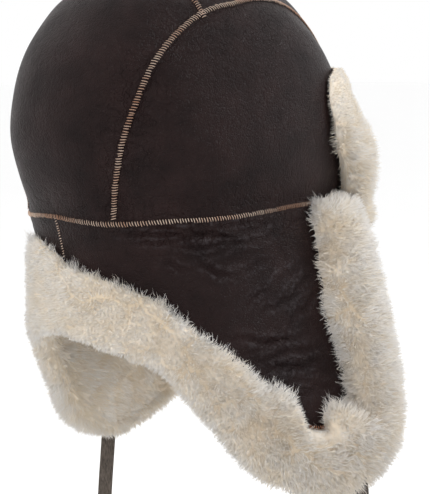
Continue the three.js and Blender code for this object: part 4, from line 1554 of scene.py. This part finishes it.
    def trim(self) -> None:
        """The deep wool trim round the edge."""
        place = np.linspace(0.0, 1.0, self.trim_stations + 1)[:, None]
        profile = sample_rows(self.section, np.linspace(0.0, 1.0, self.trim_columns + 1))[None]
        end = np.sqrt(np.clip((1.0 - place) / self.end_taper, 0.02, 1.0))
        fullness = SHAPE.trim_fullness(place)
        body = (SHAPE.trim_thickness - self.trim_inset) * fullness * end
        wrap = (SHAPE.wool_outside + SHAPE.trim_wrap - self.trim_inset) * end
        out = SHAPE.piece_gap + body * profile[..., 1] - wrap * profile[..., 2]
        start, rim = self.section[0, 0], self.section[:, 0].max()
        border = self.border(place)
        across = border + (profile[..., 0] - start) * (rim - border) / (rim - start)
        points = SHAPE.trim_points(self.side, place, across, out)
        under = np.linspace(*self.seat_across, 7)[None]
        seat = SHAPE.trim_points(self.side, place, under, self.seat_out)
        middle = SHAPE.trim_points(self.side, place, 0.5, 2.0)
        opened = smoothstep(*self.notch_opens, place)
        notch = opened * (1.0 - smoothstep(*self.notch_closes, place))
        notch = notch * (1.0 - smoothstep(*self.notch_across, across))
        thick = blend(0.7, 1.0, smoothstep(0.5, 1.1, fullness))
        name = self.name("trim")
        pile = Pile(
            points, middle,
            lambda face: grid_bmesh(np.concatenate([face, seat], axis=1), closed=True),
            length=5.4, fine=25500, long=4300, wisps=2600,
            full=thick * (1.0 - self.notch_thinning * notch),
            # Painted shade on the turned-in wrap.
            dim=self.wrap_dim * smoothstep(0.0, 0.9, profile[..., 2]),
            seed=80 + self.side.value,
        )
        put_piece(name, pile.mesh(name), self.palette.wool, [self.name("trim_fur")])

    def tip_seam(self) -> None:
        """The short row of stitches that shows where the leather's tip ends in the wool."""
        place = np.linspace(*self.tip_span, 24)
        line = SHAPE.trim_points(self.side, place, self.tip_across, self.tip_out)
        normal = line - SHAPE.trim_points(self.side, place, self.tip_across, self.tip_inward)
        seam = Seam(self.name("tip"), line, unit(normal), half_width=1.1, half_height=0.7,
                    rust=0.85, seed=70 + self.side.value)
        seam.build(self.palette)

    def build(self) -> None:
        """Makes the panel, its lining, its trim and the stitches at its tip."""
        self.leather()
        self.lining()
        self.trim()
        self.tip_seam()


@dataclass
class FrontFlap:
    """The turned-up front flap, leather towards the crown and wool to the front."""

    palette: Palette
    columns: int = 60
    rows: int = 40
    fur_gap: float = 0.4
    fur_near: float = 1.2
    fur_sink: float = 1.0
    back_reach: float = 0.97
    # Painted shade: the front flap's wool is made evenly darker and warmer.
    fur_dim: float = 0.35
    # Columns: height, rise, span, degrees from the front at which the wool ends
    fur_rows: Array = field(default_factory=lambda: np.array([
        [-0.17, 0.03, 0.96, 38],
        [-0.165, 0.3, 0.99, 40],
        [-0.12, 0.5, 1.0, 41],
        [0.03, 0.62, 1.01, 41],
        [0.2, 0.8, 1.01, 44],
        [0.38, 0.85, 1.01, 53],
        [0.56, 0.5, 0.98, 56],
        [0.74, 0.2, 0.92, 58],
        [0.89, 0.1, 0.83, 55],
        [0.965, 0.08, 0.77, 49],
        [0.985, 0.03, 0.74, 45],
    ]))
    # Columns: across, share of the way to the wrap's end, share of the way out from the
    # crown to the wool's face
    fur_sides: Array = field(default_factory=lambda: np.array([
        [0.0, 0.0, 1.0],
        [0.36, 0.0, 1.0],
        [0.7, 0.0, 0.98],
        [0.95, 0.12, 0.9],
        [1.1, 0.42, 0.76],
        [1.15, 0.8, 0.52],
        [1.15, 1.0, 0.26],
        [1.15, 0.94, 0.04],
    ]))

    def leather(self) -> None:
        """The leather, folded under the crown's edge and standing up in front of it."""
        place = np.linspace(0.0, 1.0, self.rows + 1)
        off, height, span = sample_rows(SHAPE.visor_profile, place).T
        level = height * SHAPE.visor_height - SHAPE.piece_gap
        line = np.stack([off * SHAPE.visor_stand_off, level], axis=1)
        run = unit(np.gradient(line, axis=0))
        aside = np.stack([run[:, 1], -run[:, 0]], axis=1) * SHAPE.hide_thickness / 2
        loop = np.concatenate([line + aside, (line - aside)[::-1]])
        spans = np.concatenate([span, span[::-1]])
        across = np.linspace(-1.0, 1.0, self.columns + 1)[:, None]
        points = SHAPE.visor_points(across, loop[None, :, 0], loop[None, :, 1], spans[None])
        shape = grid_bmesh(points, closed=True)
        put_piece("panel_front_flap", hide_mesh("panel_front_flap", shape, 55.0),
                  self.palette.hide, ["front_flap"])

    def fur(self) -> None:
        """The wool that faces out and comes round the sides to the crown."""
        turn = np.linspace(0.0, 1.0, self.rows + 1)[None]
        ribs = np.linspace(-1.0, 1.0, 2 * self.columns + 1)
        around = sample_rows(self.fur_sides, np.abs(ribs))
        height, rise, span, end = np.moveaxis(sample_rows(self.fur_rows, turn), -1, 0)
        wrap_end = end / (SHAPE.visor_half_angle * span)
        across = np.sign(ribs)[:, None] * blend(around[:, :1], wrap_end, around[:, 1:2])
        skin = SHAPE.visor_off(height) + SHAPE.hide_thickness / 2
        seat = skin + SHAPE.piece_gap + self.fur_gap
        face = seat + (SHAPE.visor_fur - self.fur_sink) * rise
        near = self.fur_near
        level = height * SHAPE.visor_height
        points = SHAPE.visor_points(across, blend(near, face, around[:, 2:]), level, span)
        back = SHAPE.visor_points(
            np.clip(across, -self.back_reach, self.back_reach),
            blend(near, seat, around[:, 2:]), level, span,
        )
        middle = SHAPE.visor_points(0.8 * across, seat, level, span)
        pile = Pile(
            points, middle,
            lambda body: grid_bmesh(np.concatenate([body, back[:, ::-1]], axis=1), closed=True),
            length=5.0, fine=18500, long=2800, droop=-0.12, seed=90,
            full=blend(1.0, 0.55, smoothstep(0.4, 0.85, height)), dim=self.fur_dim,
        )
        put_piece("fur_front_flap", pile.mesh("fur_front_flap"), self.palette.wool,
                  ["front_flap_fur"])

    def build(self) -> None:
        """Makes the front flap."""
        self.leather()
        self.fur()


@dataclass
class Tie:
    """A flat suede tie that hangs from under an ear flap to its cut end."""

    palette: Palette
    side: Side
    route: Sequence[tuple[float, float, float]]
    half_width: float = 4.95
    half_thickness: float = 1.05
    facing: tuple[float, float, float] = (-0.64, -0.77, 0.0)
    steps: int = 72

    def build(self) -> None:
        """Makes the tie."""
        route = np.array(self.route, float)
        line = sample_rows(route, np.linspace(0.0, 1.0, self.steps + 1))
        along = unit(np.gradient(line, axis=0))
        across = upright_to(np.array(self.facing), along)
        out = np.cross(along, across)
        shape = swept_bmesh(line, across, out, self.half_width, self.half_thickness, 20, 5.0)
        name = f"tie_suede_{self.side.label}"
        tie = put_piece(name, smooth_mesh(name, shape, 50.0), self.palette.tie,
                        [f"tie_{self.side.label}"])


# The ties' centre lines in millimetres, from under the trim down to the cut ends
TIE_ROUTES = {
    Side.RIGHT: (
        (-118.6, -43, -289), (-120, -43.4, -294), (-121.2, -43.8, -301), (-122.0, -44.0, -312),
        (-122.5, -44.2, -326), (-122.8, -44.6, -340), (-122.9, -45.2, -354),
        (-123.0, -46.0, -368), (-123.2, -47.0, -382), (-123.5, -48.0, -396),
        (-123.9, -48.9, -410), (-124.2, -49.5, -424), (-124.4, -49.8, -438),
        (-124.4, -49.8, -452), (-124.3, -49.4, -466), (-124.0, -48.8, -480),
        (-123.7, -48.2, -494),
    ),
    Side.LEFT: (
        (119.6, -37, -289), (121, -36.6, -294), (122.2, -36.2, -301), (123.0, -35.8, -312),
        (123.8, -35.2, -326), (124.6, -34.5, -340), (125.2, -33.9, -354), (125.8, -33.4, -368),
        (126.2, -33.0, -382), (126.4, -32.8, -396), (126.4, -32.8, -410), (126.2, -33.0, -424),
        (125.8, -33.3, -438), (125.3, -33.6, -452), (124.8, -33.8, -466), (124.4, -33.9, -480),
        (124.0, -34.0, -494),
    ),
}


@dataclass(frozen=True)
class Studio:
    """The camera at the photo's angle, a plain pale floor and soft light."""

    image_width: int = 430
    focal_pixels: float = 1600.0
    sensor: float = 36.0
    eye: tuple[float, float, float] = (-0.78173, 0.62410, -0.0469)
    forward: tuple[float, float, float] = (0.76110, -0.63864, -0.11339)
    aim: tuple[float, float, float] = (0.0, 0.0, -0.14)
    floor_drop: float = 0.02
    floor_size: float = 60.0
    # Columns: name, place, size in metres, power in watts, colour
    lamps: tuple[tuple, ...] = (
        ("key", (-0.25, 1.6, 1.35), 0.45, 13.0, (1.0, 0.99, 0.97)),
        ("rim", (-0.75, -1.4, 1.0), 0.4, 15.0, (0.97, 0.98, 1.0)),
    )

    def camera(self) -> None:
        """The camera, with the photo's lens."""
        lens = bpy.data.cameras.new("photo_camera")
        lens.sensor_fit = "HORIZONTAL"
        lens.sensor_width = self.sensor
        lens.lens = self.focal_pixels * self.sensor / self.image_width
        camera = place_object("photo_camera", lens)
        camera.location = self.eye
        camera.rotation_euler = Vector(self.forward).to_track_quat("-Z", "Y").to_euler()
        bpy.context.scene.camera = camera

    def lamp(self, name: str, place: tuple[float, float, float], size: float, power: float,
             colour: Colour) -> None:
        """A square soft light that faces the helmet."""
        light = bpy.data.lights.new(name, "AREA")
        light.shape = "SQUARE"
        light.size = size
        light.energy = power
        light.color = colour
        lamp = place_object(name, light)
        lamp.location = place
        way = Vector(self.aim) - Vector(place)
        lamp.rotation_euler = way.to_track_quat("-Z", "Y").to_euler()

    def floor(self) -> None:
        """A pale floor under the ends of the ties."""
        shape = bmesh.new()
        bmesh.ops.create_grid(shape, x_segments=1, y_segments=1, size=self.floor_size / 2)
        bmesh.ops.translate(shape, verts=shape.verts, vec=(0, 0, CAD_BOX[0].z - self.floor_drop))
        mesh = bpy.data.meshes.new("floor")
        shape.to_mesh(mesh)
        shape.free()
        wiring = MaterialWiring("pale_floor")
        soft = wiring.noise(wiring.place, 1.5, 2.0)
        wiring.feed(Base_Color=wiring.mix(soft, (0.975, 0.975, 0.975), (0.99, 0.99, 0.99)))
        wiring.settle({"Roughness": 0.9})
        mesh.materials.append(wiring.made)
        floor = place_object("floor", mesh)

    def world(self) -> None:
        """An even pale surround."""
        world = bpy.data.worlds.new("studio")
        world.use_nodes = True
        back = world.node_tree.nodes["Background"]
        back.inputs["Color"].default_value = (1.0, 1.0, 1.0, 1.0)
        back.inputs["Strength"].default_value = 1.0
        bpy.context.scene.world = world

    def build(self) -> None:
        """Sets the floor, the surround and the lights."""
        self.floor()
        self.world()
        for lamp in self.lamps:
            self.lamp(*lamp)
        bpy.context.scene.view_settings.view_transform = "Standard"


def main() -> None:
    """Builds the helmet piece by piece."""
    logging.basicConfig(level=logging.INFO, format="%(message)s")
    studio = Studio()
    studio.camera()
    palette = Palette.mixed()
    for side, route in TIE_ROUTES.items():
        Tie(palette, side, route).build()
    Crown(palette).build()
    for side in Side:
        EarPanel(palette, side).build()
    FrontFlap(palette).build()
    studio.build()


if __name__ == "__main__":
    main()
